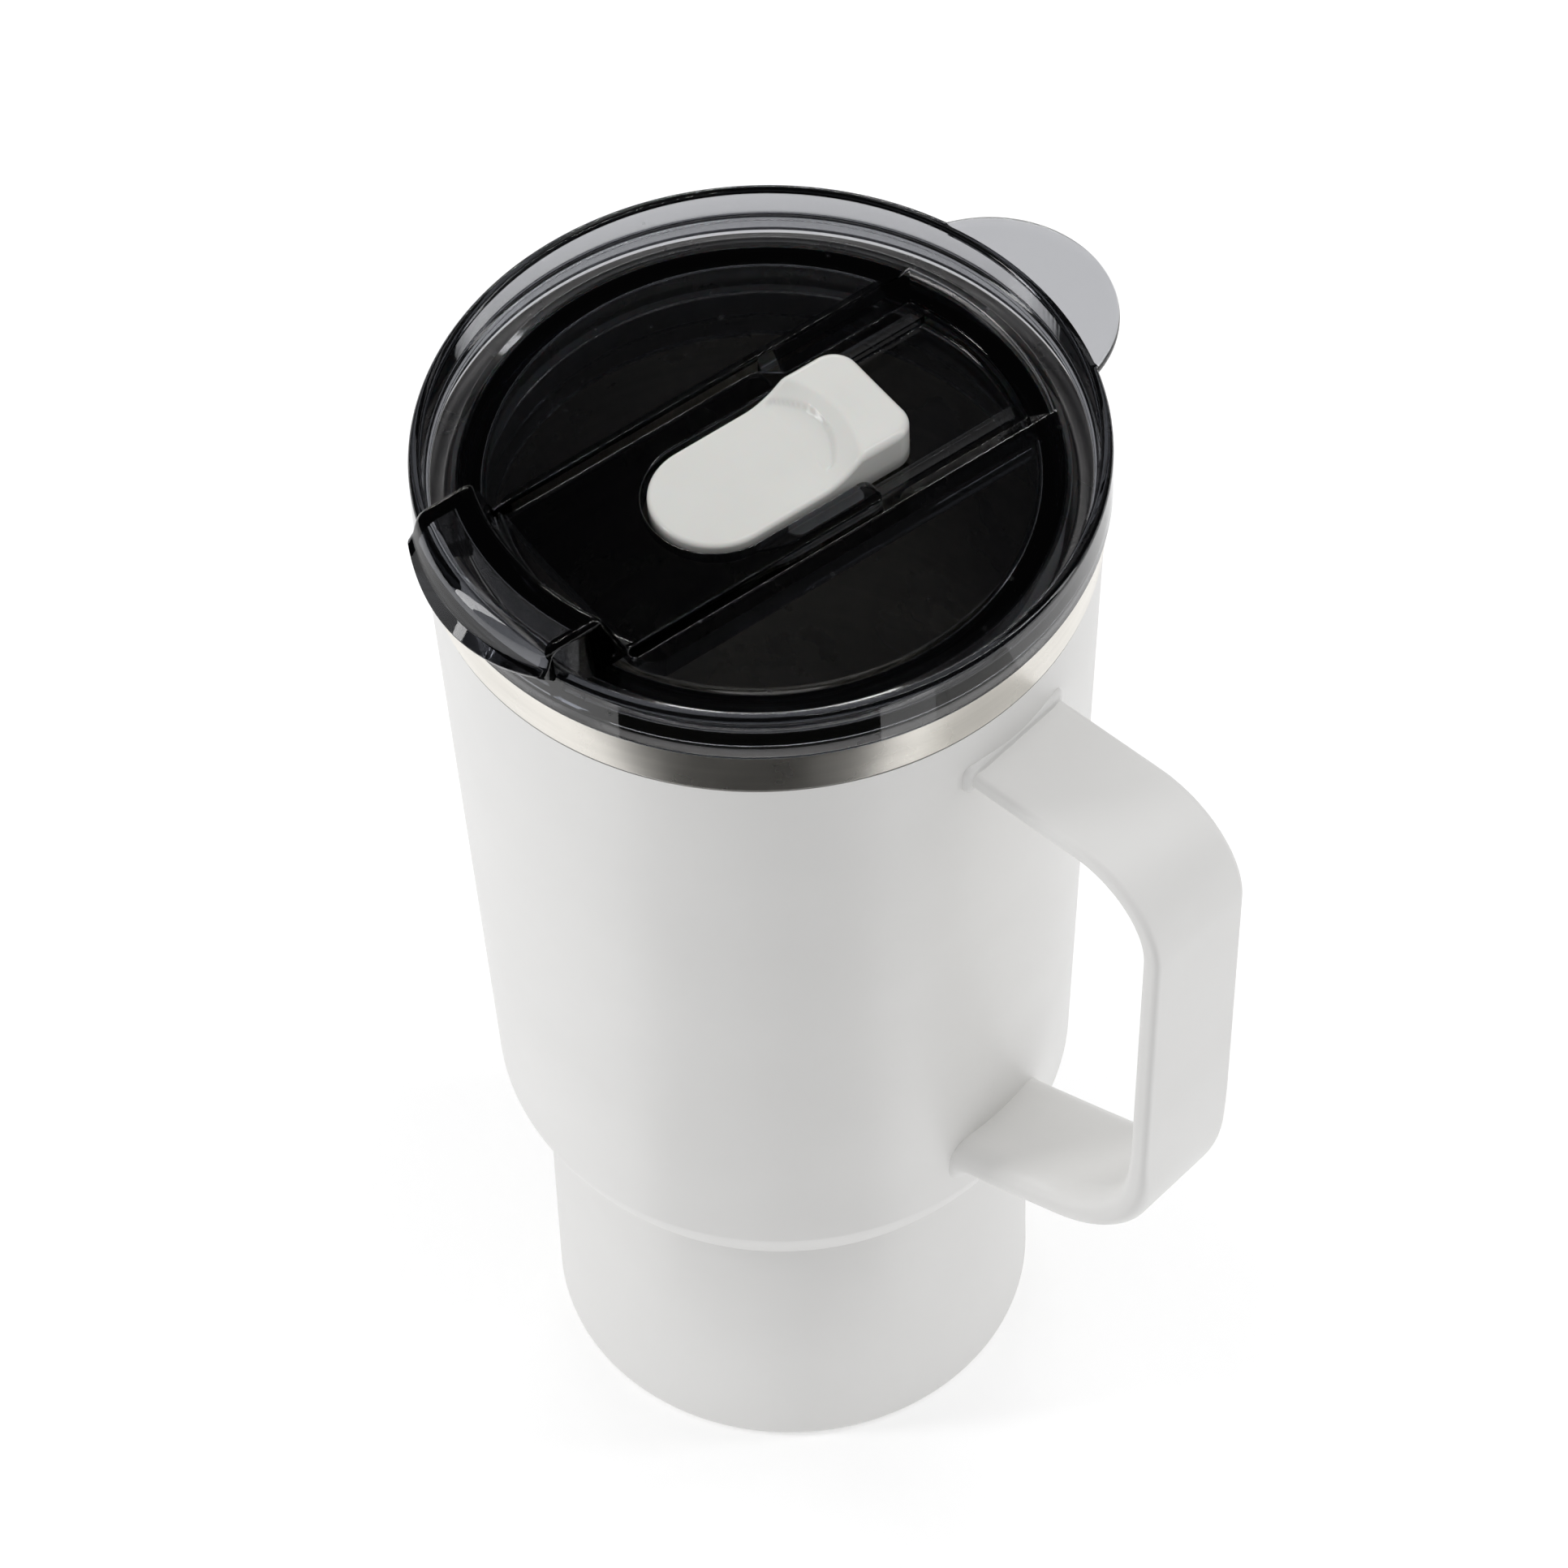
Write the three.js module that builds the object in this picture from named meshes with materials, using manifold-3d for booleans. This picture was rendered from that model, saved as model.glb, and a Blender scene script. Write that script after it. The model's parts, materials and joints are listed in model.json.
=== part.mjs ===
// A vacuum-insulated travel mug with a strap handle, a snap-in clear lid and a sliding drink closure.
// Units are millimetres, +Z is up, the mug stands on z = 0 and its axis is the Z axis.
// The handle reaches out along +X. The lid is built in a frame of its own, spout on -X, tab on +X,
// and that frame is turned about the mug's axis to where the lid sits.

import * as THREE from "three";
import { mergeVertices } from "three/addons/utils/BufferGeometryUtils.js";
import Module from "manifold-3d";

const wasm = await Module();
wasm.setup();

// ---------- driving dimensions ----------

const GAP = 0.3; // clearance between pieces that touch on the real mug
const SEGMENTS = 48; // facets round the mug's axis
const SHEET = 0.8; // steel wall

const BODY_TOP_R = 47.8;
const BODY_TOP_Z = 175.3;
const SHOULDER_R = 42.8; // where the tapered upper body ends
const SHOULDER_Z = 61.7;
const WAIST_R = 36.2; // top of the cup-holder section
const WAIST_Z = 50.4;
const FOOT_R = 36.1;
const FOOT_FILLET = 2;
const FOOT_RING_R = 26.3; // inner edge of the ring the mug stands on

const BAND_R = 47.96; // bare steel lip rolled over the shell
const BAND_Z = BODY_TOP_Z + GAP;
const RIM_Z = 183.3;
const MOUTH_R = 44.6;
const VACUUM = 3.4; // outer surface to inner surface, both walls and the gap
const CUP_FLOOR_Z = 10;
const CUP_FILLET = 12;
const PORT_X = -12; // the evacuation port sits off the axis
const PORT_R = 1.6;
const SEAL_CAP_R = 3.2;
const SEAL_CAP_T = 1.2;
const GETTER_R = 6;
const GETTER_T = 1.6;

const HANDLE_WIDTH = 18.6;
const HANDLE_TOP_Z = 166.7;
const HANDLE_R = 81.7; // reach of the grip at its upper end
const HANDLE_FOOT_R = 79.1; // reach of the grip at its lower end
const STRAP = 3.1;
const LOWER_ARM = 7.2;
const ARM_SLOPE = 0.37; // rise of the lower arm per millimetre of reach
const ARM_Z = 65.8; // underside of the lower arm at the root
const ROOT_R = 40; // where the strap's outline starts, inside the body it is cut back to
const STRAP_BEVEL = 1;
const PAD = 0.8;
const PAD_LIP = 1.2; // how far the upper pad shows round the strap

const LID_ANGLE = 79.1; // degrees from the handle to the lid's tab
const LID_R = 49;
const LID_TOP_Z = 192.2;
const DECK_Z = 187.5; // flat top of the lid inside its rim
const DECK_T = 2.3;
const RING_R = 42.4; // where the rim's slope meets the deck
const SKIRT_R = 42;
const SKIRT_T = 2.6;
const SKIRT_Z = 169;
const GROOVE_Z = 172.5;
const GROOVE_H = 5;
const GROOVE_DEPTH = 1.2;

const CHANNEL_HALF = 16.6; // half width of the channel across the deck
const PLATEAU_HALF = 15; // half width of the raised part round the closure
const PLATEAU_END = 10.5;
const LEDGE_Z = 184.6;
const LEDGE_HALF = 13.8;
const TRACK_Z = 183; // floor the closure slides on
const TRACK_HALF = 10.4;
const TRACK_FRONT = -8; // centre of the track's round front end
const TRACK_END_R = 37.8;
const UNDERCUT_HALF = 12.2;
const UNDERCUT_H = 1.9;
const TRAY_T = 2;
const SPOUT_HALF = 15.7;
const SPOUT_TOP_Z = 198;
const SPOUT_LIP_R = 53; // drip edge
const SPOUT_LIP_Z = 190.6;
const TAB_CENTRE = 39.9;
const TAB_R = 18.4;
const TAB_T = 2;

const SLIDER_HALF = 9.5;
const SLIDER_TOP_Z = 187.8;
const SLIDER_REAR = 20.7;
const SLIDER_CORNER = 4;
const THUMB_TOP_Z = 190.9;
const THUMB_X = 2.6; // where the ramp up to the thumb block begins
const RUNNER_HALF = 11.9;
const RUNNER_H = 1;
const RUNNER_FRONT = -6;
const SEAL_FRONT = -16;
const SEAL_REAR = -4;
const SEAL_HALF = 8;
const SEAL_T = 1.4;
const GASKET_LIP_R = 43.7;
const HOLE_X = -10.5; // drink hole: 8 by 12 mm
const VENT_X = 13;
const VENT_R = 1;

// ---------- helpers ----------

function v2(x, y) {
  return new THREE.Vector2(x, y);
}

// Points on an arc in a profile, angles in degrees, both ends included.
function arc(cx, cy, radius, from, to, steps) {
  const points = [];
  for (let i = 0; i <= steps; i += 1) {
    const a = THREE.MathUtils.degToRad(from + ((to - from) * i) / steps);
    points.push(v2(cx + radius * Math.cos(a), cy + radius * Math.sin(a)));
  }
  return points;
}

// A (radius, height) profile turned about the Z axis. It runs up the outside and down the inside.
function turn(profile, segments = SEGMENTS) {
  return new THREE.LatheGeometry(profile, segments).rotateX(Math.PI / 2);
}

function closed(profile) {
  return [...profile, profile[0].clone()];
}

// A plan outline in X and Y raised from one height to another.
function raise(shape, low, high, curveSegments = 12) {
  const options = { depth: high - low, bevelEnabled: false, curveSegments };
  return new THREE.ExtrudeGeometry(shape, options).translate(0, 0, low);
}

function box(x0, x1, y0, y1, z0, z1) {
  const geometry = new THREE.BoxGeometry(x1 - x0, y1 - y0, z1 - z0);
  return geometry.translate((x0 + x1) / 2, (y0 + y1) / 2, (z0 + z1) / 2);
}

function drum(radius, low, high, x = 0, y = 0, segments = SEGMENTS) {
  const geometry = new THREE.CylinderGeometry(radius, radius, high - low, segments);
  return geometry.rotateX(Math.PI / 2).translate(x, y, (low + high) / 2);
}

// A closed mesh as a solid that can be joined and cut.
function solid(geometry) {
  const bare = geometry.clone();
  bare.deleteAttribute("normal");
  bare.deleteAttribute("uv");
  const merged = mergeVertices(bare, 1e-4);
  const index = merged.index.array;
  const triangles = [];
  for (let i = 0; i < index.length; i += 3) {
    const [a, b, c] = index.slice(i, i + 3);
    if (a !== b && b !== c && c !== a) {
      triangles.push(a, b, c);
    }
  }
  const mesh = new wasm.Mesh({
    numProp: 3,
    vertProperties: new Float32Array(merged.attributes.position.array),
    triVerts: new Uint32Array(triangles),
  });
  return new wasm.Manifold(mesh);
}

function surface(shape) {
  const mesh = shape.getMesh();
  const geometry = new THREE.BufferGeometry();
  geometry.setAttribute("position", new THREE.BufferAttribute(mesh.vertProperties, 3));
  geometry.setIndex(new THREE.BufferAttribute(mesh.triVerts, 1));
  geometry.computeVertexNormals();
  return geometry;
}

// An outline that is a strip with one round end: from a round front to a square rear.
function strip(front, rear, half, radius = half) {
  const shape = new THREE.Shape();
  shape.moveTo(rear, -half);
  shape.lineTo(rear, half);
  shape.lineTo(front, half);
  shape.absellipse(front, 0, radius, half, Math.PI / 2, (3 * Math.PI) / 2, false);
  shape.closePath();
  return shape;
}

// ---------- materials ----------

function finish(color, roughness, metalness, extra = {}) {
  return new THREE.MeshStandardMaterial({ color, roughness, metalness, ...extra });
}

const coat = finish(0xe4e4e1, 0.55, 0);
const steel = finish(0xb9b5ab, 0.32, 1);
const getterMetal = finish(0x8d8f94, 0.5, 1);
const sealBead = finish(0x6f7176, 0.4, 0.6);
const clear = finish(0x2b2d31, 0.08, 0, { transparent: true, opacity: 0.6 });
const silicone = finish(0xdcdcda, 0.6, 0);
const gloss = finish(0xe6e5e0, 0.25, 0);

const group = new THREE.Group();
const lid = new THREE.Group();
lid.rotation.z = THREE.MathUtils.degToRad(LID_ANGLE);
group.add(lid);

function place(parent, name, geometry, material) {
  const mesh = new THREE.Mesh(geometry, material);
  mesh.name = name;
  parent.add(mesh);
}

// ---------- steel body ----------

// The rounded shoulder between the tapered body and the waist, from the top down.
function shoulder(inset, steps) {
  const points = [];
  const power = 1.6;
  for (let i = 0; i <= steps; i += 1) {
    const a = (i / steps) * (Math.PI / 2);
    const r = WAIST_R + (SHOULDER_R - WAIST_R) * Math.cos(a) ** power - inset;
    const z = SHOULDER_Z - (SHOULDER_Z - WAIST_Z) * Math.sin(a) ** power + inset / 2;
    points.push(v2(r, z));
  }
  return points;
}

function outerShell() {
  const outside = [
    v2(FOOT_RING_R, 0),
    ...arc(FOOT_R - FOOT_FILLET, FOOT_FILLET, FOOT_FILLET, -90, 0, 6),
    ...shoulder(0, 6).reverse(),
    v2(BODY_TOP_R, BODY_TOP_Z),
  ];
  const inside = [
    v2(BODY_TOP_R - SHEET, BODY_TOP_Z),
    ...shoulder(SHEET, 5),
    ...arc(FOOT_R - FOOT_FILLET, FOOT_FILLET, FOOT_FILLET - SHEET, 0, -90, 5),
    v2(FOOT_RING_R, SHEET),
  ];
  return turn(closed([...outside, ...inside]));
}

// The liner is the cup itself; its lip is rolled out and down over the shell as a bare band.
function innerLiner() {
  const bottomR = FOOT_R - VACUUM - CUP_FILLET;
  const filletZ = CUP_FLOOR_Z + CUP_FILLET;
  const outside = [
    v2(0, CUP_FLOOR_Z - SHEET),
    ...arc(bottomR, filletZ, CUP_FILLET + SHEET, -90, 0, 5),
    ...shoulder(VACUUM - SHEET, 5).reverse(),
    v2(MOUTH_R + SHEET, RIM_Z - 2.4),
    v2(BAND_R - SHEET, RIM_Z - 1.4),
    v2(BAND_R - SHEET, BAND_Z),
    v2(BAND_R, BAND_Z),
    v2(BAND_R, RIM_Z - 0.6),
    v2(BAND_R - 0.6, RIM_Z),
  ];
  const inside = [
    v2(MOUTH_R + 0.6, RIM_Z),
    v2(MOUTH_R, RIM_Z - 0.6),
    ...shoulder(VACUUM, 5),
    ...arc(bottomR, filletZ, CUP_FILLET, 0, -90, 5),
    v2(0, CUP_FLOOR_Z),
  ];
  return turn([...outside, ...inside]);
}

function basePlate() {
  const plate = solid(drum(FOOT_RING_R - GAP, 0, SHEET));
  return surface(plate.subtract(solid(drum(PORT_R, -1, SHEET + 1, PORT_X, 0, 20))));
}

function vacuumSeal() {
  const capLow = SHEET + GAP;
  const cap = solid(drum(SEAL_CAP_R, capLow, capLow + SEAL_CAP_T, PORT_X, 0, 24));
  const stub = solid(drum(PORT_R - GAP, 0.2, capLow + 0.5, PORT_X, 0, 20));
  return surface(cap.add(stub));
}

function getter() {
  const top = CUP_FLOOR_Z - SHEET - GAP;
  const low = top - GETTER_T;
  return turn([v2(0, low), v2(GETTER_R - 0.6, low), v2(GETTER_R, low + 0.6), v2(GETTER_R, top), v2(0, top)], 32);
}

place(group, "outer_shell", outerShell(), coat);
place(group, "inner_liner", innerLiner(), steel);
place(group, "base_plate", basePlate(), coat);
place(group, "vacuum_seal", vacuumSeal(), sealBead);
place(group, "getter", getter(), getterMetal);

// ---------- handle ----------

function bodyRadius(z) {
  return SHOULDER_R + ((z - SHOULDER_Z) * (BODY_TOP_R - SHOULDER_R)) / (BODY_TOP_Z - SHOULDER_Z);
}

// The upper body grown by a clearance, to cut what is fitted against it.
function bodyCore(grow) {
  return solid(turn([
    v2(0, SHOULDER_Z),
    v2(bodyRadius(SHOULDER_Z) + grow, SHOULDER_Z),
    v2(BODY_TOP_R + grow, BODY_TOP_Z),
    v2(0, BODY_TOP_Z),
  ]));
}

// Rounds the corner at b of the path a, b, c with the given radius.
function corner(a, b, c, radius, steps) {
  const back = a.clone().sub(b).normalize();
  const on = c.clone().sub(b).normalize();
  const half = Math.acos(back.dot(on)) / 2;
  const middle = back.clone().add(on).normalize().multiplyScalar(radius / Math.sin(half)).add(b);
  const start = back.multiplyScalar(radius / Math.tan(half)).add(b).sub(middle).angle();
  const end = on.multiplyScalar(radius / Math.tan(half)).add(b).sub(middle).angle();
  const turnBy = THREE.MathUtils.euclideanModulo(end - start + Math.PI, 2 * Math.PI) - Math.PI;
  const toDegrees = THREE.MathUtils.radToDeg;
  return arc(middle.x, middle.y, radius, toDegrees(start), toDegrees(start + turnBy), steps);
}

// Side view of the strap, X to the right and Z up: out along the top, down the grip, back along
// the thicker lower arm, and home along the finger side.
function handleStrap() {
  const inReach = HANDLE_R - STRAP;
  const inFoot = HANDLE_FOOT_R - STRAP - 0.4;
  const outer = [
    v2(ROOT_R, HANDLE_TOP_Z),
    v2(HANDLE_R + 0.6, HANDLE_TOP_Z),
    v2(HANDLE_FOOT_R - 0.6, ARM_Z + ARM_SLOPE * (HANDLE_FOOT_R - ROOT_R)),
    v2(ROOT_R, ARM_Z),
  ];
  const inner = [
    v2(ROOT_R, ARM_Z + LOWER_ARM - 0.8),
    v2(inFoot - 0.6, ARM_Z + LOWER_ARM + 0.6 + ARM_SLOPE * (inFoot - ROOT_R)),
    v2(inReach + 0.6, HANDLE_TOP_Z - STRAP),
    v2(ROOT_R, HANDLE_TOP_Z - STRAP),
  ];
  const outline = [
    outer[0],
    ...corner(outer[0], outer[1], outer[2], 15.5, 8),
    ...corner(outer[1], outer[2], outer[3], 25, 8),
    outer[3],
    inner[0],
    ...corner(inner[0], inner[1], inner[2], 18, 7),
    ...corner(inner[1], inner[2], inner[3], 13, 7),
    inner[3],
  ];
  const side = new THREE.ExtrudeGeometry(new THREE.Shape(outline), {
    depth: HANDLE_WIDTH - 2 * STRAP_BEVEL,
    bevelThickness: STRAP_BEVEL,
    bevelSize: STRAP_BEVEL,
    bevelOffset: -STRAP_BEVEL,
    bevelSegments: 2,
  });
  side.translate(0, 0, STRAP_BEVEL - HANDLE_WIDTH / 2).rotateX(Math.PI / 2);
  return surface(solid(side).subtract(bodyCore(PAD + 2 * GAP)));
}

// A thin curved plate welded to the body under each end of the strap.
function handlePad(low, high, half) {
  const ring = bodyCore(GAP + PAD).subtract(bodyCore(GAP));
  return surface(ring.intersect(solid(box(0, 60, -half, half, low, high))));
}

place(group, "handle_strap", handleStrap(), coat);
const upperPadLow = HANDLE_TOP_Z - STRAP - PAD_LIP;
const upperPadHalf = HANDLE_WIDTH / 2 + PAD_LIP;
const lowerPadLow = ARM_Z + ARM_SLOPE * (bodyRadius(ARM_Z) - ROOT_R);
place(group, "handle_upper_pad", handlePad(upperPadLow, HANDLE_TOP_Z + PAD_LIP, upperPadHalf), coat);
place(group, "handle_lower_pad", handlePad(lowerPadLow, lowerPadLow + LOWER_ARM, HANDLE_WIDTH / 2 - 1), coat);

// ---------- lid ----------

function lidCap() {
  const seatZ = RIM_Z + GAP;
  const wallIn = LID_R - 2.1;
  const skirtIn = SKIRT_R - SKIRT_T;
  const grooveTop = GROOVE_Z + GROOVE_H;
  return turn([
    v2(0, DECK_Z - DECK_T),
    v2(skirtIn, DECK_Z - DECK_T),
    v2(skirtIn, SKIRT_Z + 0.5),
    v2(skirtIn + 0.5, SKIRT_Z),
    v2(SKIRT_R - 0.5, SKIRT_Z),
    v2(SKIRT_R, SKIRT_Z + 0.5),
    v2(SKIRT_R, GROOVE_Z),
    v2(SKIRT_R - GROOVE_DEPTH, GROOVE_Z),
    v2(SKIRT_R - GROOVE_DEPTH, grooveTop),
    v2(SKIRT_R, grooveTop),
    v2(SKIRT_R, seatZ + 1),
    v2(SKIRT_R + 1.8, seatZ + 2),
    v2(wallIn, seatZ + 4.8),
    v2(wallIn, seatZ),
    v2(LID_R - 0.3, seatZ),
    v2(LID_R, seatZ + 0.6),
    ...arc(LID_R - 1.1, LID_TOP_Z - 1.1, 1.1, 0, 110, 4),
    v2(45.6, 189.4),
    v2(44, 188),
    v2(RING_R, DECK_Z - 0.1),
    v2(RING_R - 0.6, DECK_Z),
    v2(0, DECK_Z),
  ]);
}

// The spout is a stretch of a turned ridge: a steep inner face, a rounded top and an outer face
// that leans out past the rim to a drip edge.
function spout() {
  const ridge = turn([
    v2(36.4, DECK_Z - 1),
    v2(LID_R - 0.1, DECK_Z - 1),
    v2(LID_R - 0.1, SPOUT_LIP_Z - 0.2),
    v2(SPOUT_LIP_R - 0.3, SPOUT_LIP_Z),
    v2(SPOUT_LIP_R, SPOUT_LIP_Z + 0.7),
    v2(SPOUT_LIP_R - 1.1, SPOUT_LIP_Z + 3.4),
    v2(50.4, SPOUT_TOP_Z - 1.2),
    v2(49.4, SPOUT_TOP_Z - 0.2),
    v2(48.4, SPOUT_TOP_Z),
    v2(42.6, SPOUT_TOP_Z),
    v2(41.2, SPOUT_TOP_Z - 0.6),
    v2(38.9, SPOUT_TOP_Z - 5),
    v2(37.4, SPOUT_TOP_Z - 8.4),
    v2(36.4, DECK_Z),
    v2(36.4, DECK_Z - 1),
  ]);
  return solid(ridge).intersect(solid(box(-60, 0, -SPOUT_HALF, SPOUT_HALF, 150, 210)));
}

// The tray carries the channel, the track and the drink hole below the level of the deck.
function tray() {
  const inside = solid(drum(SKIRT_R - SKIRT_T + 0.4, TRACK_Z - TRAY_T, DECK_Z - 0.2));
  const half = CHANNEL_HALF + 1.8;
  return inside.intersect(solid(box(-34, 60, -half, half, 100, 200)));
}

// What is cut out of the deck and tray, from above.
function channelCuts() {
  const above = DECK_Z + 8;
  const bed = solid(drum(SKIRT_R - 0.8, LEDGE_Z, above));
  const wall = new THREE.Shape([
    v2(CHANNEL_HALF, DECK_Z + 5),
    v2(CHANNEL_HALF, DECK_Z),
    v2(LEDGE_HALF, LEDGE_Z),
    v2(-LEDGE_HALF, LEDGE_Z),
    v2(-CHANNEL_HALF, DECK_Z),
    v2(-CHANNEL_HALF, DECK_Z + 5),
  ]);
  const trough = new THREE.ExtrudeGeometry(wall, { depth: 40, bevelEnabled: false });
  trough.rotateX(Math.PI / 2).rotateZ(Math.PI / 2).translate(PLATEAU_END, 0, 0);
  const cuts = [
    solid(trough).intersect(bed),
    solid(raise(strip(TRACK_FRONT, 50, TRACK_HALF), TRACK_Z, above)).intersect(
      solid(drum(TRACK_END_R, TRACK_Z - 1, above + 1)),
    ),
    solid(raise(strip(RUNNER_FRONT, 50, UNDERCUT_HALF, 6), TRACK_Z, TRACK_Z + UNDERCUT_H)).intersect(
      solid(drum(TRACK_END_R, TRACK_Z - 1, above)),
    ),
  ];
  for (const side of [-1, 1]) {
    const middle = (side * (PLATEAU_HALF + CHANNEL_HALF)) / 2;
    const half = (CHANNEL_HALF - PLATEAU_HALF) / 2;
    cuts.push(solid(box(-33.6, PLATEAU_END + 0.1, middle - half, middle + half, LEDGE_Z, above)));
  }
  return cuts;
}

// The drink hole, an upright oval across the track, and the small vent behind it.
function flowHoles() {
  const low = TRACK_Z - TRAY_T - 1;
  const oval = new THREE.Shape();
  oval.absellipse(HOLE_X, 0, 4, 6, 0, 2 * Math.PI, false);
  return [solid(raise(oval, low, TRACK_Z + 1)), solid(drum(VENT_R, low, TRACK_Z + 1, VENT_X, 0, 16))];
}

function lidBody() {
  const tab = drum(TAB_R, LID_TOP_Z - TAB_T, LID_TOP_Z, TAB_CENTRE, 0, 48);
  const outsideRim = solid(tab).subtract(solid(drum(LID_R - 1.6, 150, 210)));
  let shape = solid(lidCap()).add(tray()).add(spout()).add(outsideRim);
  for (const cut of [...channelCuts(), ...flowHoles()]) {
    shape = shape.subtract(cut);
  }
  return surface(shape);
}

// A ring with a flat back in the skirt's groove and two lips that wipe the mug's mouth.
function lidGasket() {
  const back = SKIRT_R - GROOVE_DEPTH + GAP;
  const low = GROOVE_Z + GAP;
  const high = GROOVE_Z + GROOVE_H - GAP;
  return turn(closed([
    v2(back, low),
    v2(42.3, low),
    v2(GASKET_LIP_R, low + 0.7),
    v2(GASKET_LIP_R, low + 1.1),
    v2(42.5, low + 1.6),
    v2(42.5, high - 1.6),
    v2(GASKET_LIP_R, high - 0.8),
    v2(GASKET_LIP_R, high - 0.4),
    v2(42.3, high),
    v2(back, high),
  ]));
}

// Plan of the closure: a round front and a rear with rounded corners.
function sliderPlan() {
  const [half, rear, radius] = [SLIDER_HALF, SLIDER_REAR, SLIDER_CORNER];
  const shape = new THREE.Shape();
  shape.moveTo(rear, -half + radius);
  shape.lineTo(rear, half - radius);
  shape.absarc(rear - radius, half - radius, radius, 0, Math.PI / 2, false);
  shape.lineTo(TRACK_FRONT, half);
  shape.absarc(TRACK_FRONT, 0, half, Math.PI / 2, (3 * Math.PI) / 2, false);
  shape.lineTo(rear - radius, -half);
  shape.absarc(rear - radius, -half + radius, radius, -Math.PI / 2, 0, false);
  return shape;
}

function slider() {
  const bottom = TRACK_Z + 3 * GAP;
  const body = raise(sliderPlan(), bottom, SLIDER_TOP_Z);
  const thumb = new THREE.Shape();
  thumb.moveTo(THUMB_X, SLIDER_TOP_Z - 1);
  thumb.lineTo(THUMB_X, SLIDER_TOP_Z);
  thumb.quadraticCurveTo(7.6, SLIDER_TOP_Z + 0.2, 9.4, THUMB_TOP_Z - 0.9);
  thumb.quadraticCurveTo(10.1, THUMB_TOP_Z, 11.4, THUMB_TOP_Z);
  thumb.quadraticCurveTo(15.4, THUMB_TOP_Z - 0.7, SLIDER_REAR - 1, THUMB_TOP_Z);
  thumb.lineTo(SLIDER_REAR, THUMB_TOP_Z - 0.8);
  thumb.lineTo(SLIDER_REAR, SLIDER_TOP_Z - 1);
  const side = new THREE.ExtrudeGeometry(thumb, { depth: 30, bevelEnabled: false, curveSegments: 5 });
  side.translate(0, 0, -15).rotateX(Math.PI / 2);
  const top = solid(raise(sliderPlan(), bottom, THUMB_TOP_Z + 1));
  const runnerLow = TRACK_Z + 2 * GAP;
  const runners = box(RUNNER_FRONT, 18, -RUNNER_HALF, RUNNER_HALF, runnerLow, runnerLow + RUNNER_H);
  const seat = raise(sealPlan(GAP), bottom - 1, bottom + SEAL_T - GAP);
  return surface(solid(body).add(solid(side).intersect(top)).add(solid(runners)).subtract(solid(seat)));
}

function sealPlan(grow) {
  const shape = new THREE.Shape();
  const centreX = (SEAL_FRONT + SEAL_REAR) / 2;
  shape.absellipse(centreX, 0, (SEAL_REAR - SEAL_FRONT) / 2 + grow, SEAL_HALF + grow, 0, 2 * Math.PI, false);
  return shape;
}

function sliderSeal() {
  const low = TRACK_Z + GAP;
  return raise(sealPlan(0), low, low + SEAL_T);
}

place(lid, "lid_body", lidBody(), clear);
place(lid, "lid_gasket", lidGasket(), silicone);
place(lid, "slider", slider(), gloss);
place(lid, "slider_seal", sliderSeal(), silicone);

export default group;
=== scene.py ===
# %% [markdown]
# # An insulated travel mug with a clear smoke lid
# This lesson builds the look of a steel travel mug round a frame that already exists. The frame holds one plain
# solid for each real piece, at its true size and place. Here each visible piece gets a fine surface and a real
# finish. Nothing is moved: a new surface is worked out in the frame's own coordinates, in metres.

# %% Load the frame
import json
import math

import bmesh
import bpy
import numpy as np
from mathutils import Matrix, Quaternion, Vector


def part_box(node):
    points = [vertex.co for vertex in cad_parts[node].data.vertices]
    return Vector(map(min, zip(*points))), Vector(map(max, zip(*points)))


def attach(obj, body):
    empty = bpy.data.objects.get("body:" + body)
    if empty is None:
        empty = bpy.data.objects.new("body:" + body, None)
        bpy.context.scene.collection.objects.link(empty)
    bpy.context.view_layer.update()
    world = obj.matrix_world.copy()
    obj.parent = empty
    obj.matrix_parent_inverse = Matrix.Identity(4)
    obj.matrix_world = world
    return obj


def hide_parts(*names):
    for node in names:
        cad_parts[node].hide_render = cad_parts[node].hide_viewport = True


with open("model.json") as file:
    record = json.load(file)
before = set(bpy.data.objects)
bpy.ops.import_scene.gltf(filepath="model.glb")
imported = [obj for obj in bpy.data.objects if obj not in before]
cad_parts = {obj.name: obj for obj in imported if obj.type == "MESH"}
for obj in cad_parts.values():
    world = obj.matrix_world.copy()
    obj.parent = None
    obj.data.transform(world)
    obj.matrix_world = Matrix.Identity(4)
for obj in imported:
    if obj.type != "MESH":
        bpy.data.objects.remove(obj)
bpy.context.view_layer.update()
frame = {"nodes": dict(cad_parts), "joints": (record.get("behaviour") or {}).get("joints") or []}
MM = 0.001


def box_mm(node):
    """Lowest and highest corner of a frame node, in millimetres."""
    low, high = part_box(node)
    return np.array(low) / MM, np.array(high) / MM


print("nodes:", sorted(frame["nodes"]))

# %% [markdown]
# ## Driving sizes
# The mug is round about the Z axis, so most sizes are a radius or a height, read from the boxes of the frame's
# nodes. The lid is turned a little against the handle. Its own frame has A towards the lift tab and P across, and
# the angle comes from the slider's joint, which slides along A.

# %% Sizes in millimetres
shell_high = box_mm("outer_shell")[1]
liner_low, liner_high = box_mm("inner_liner")
lid_low, lid_high = box_mm("lid_body")
strap_high = box_mm("handle_strap")[1]
slider_high = box_mm("slider")[1]

BODY_TOP_R = shell_high[1]
BODY_TOP_Z = shell_high[2]
SHOULDER_R, SHOULDER_Z = 42.8, 61.7
WAIST_R, WAIST_Z = 36.2, 50.4
FOOT_R, FOOT_FILLET, FOOT_RING_R = 36.1, 2.0, 26.3
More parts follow.
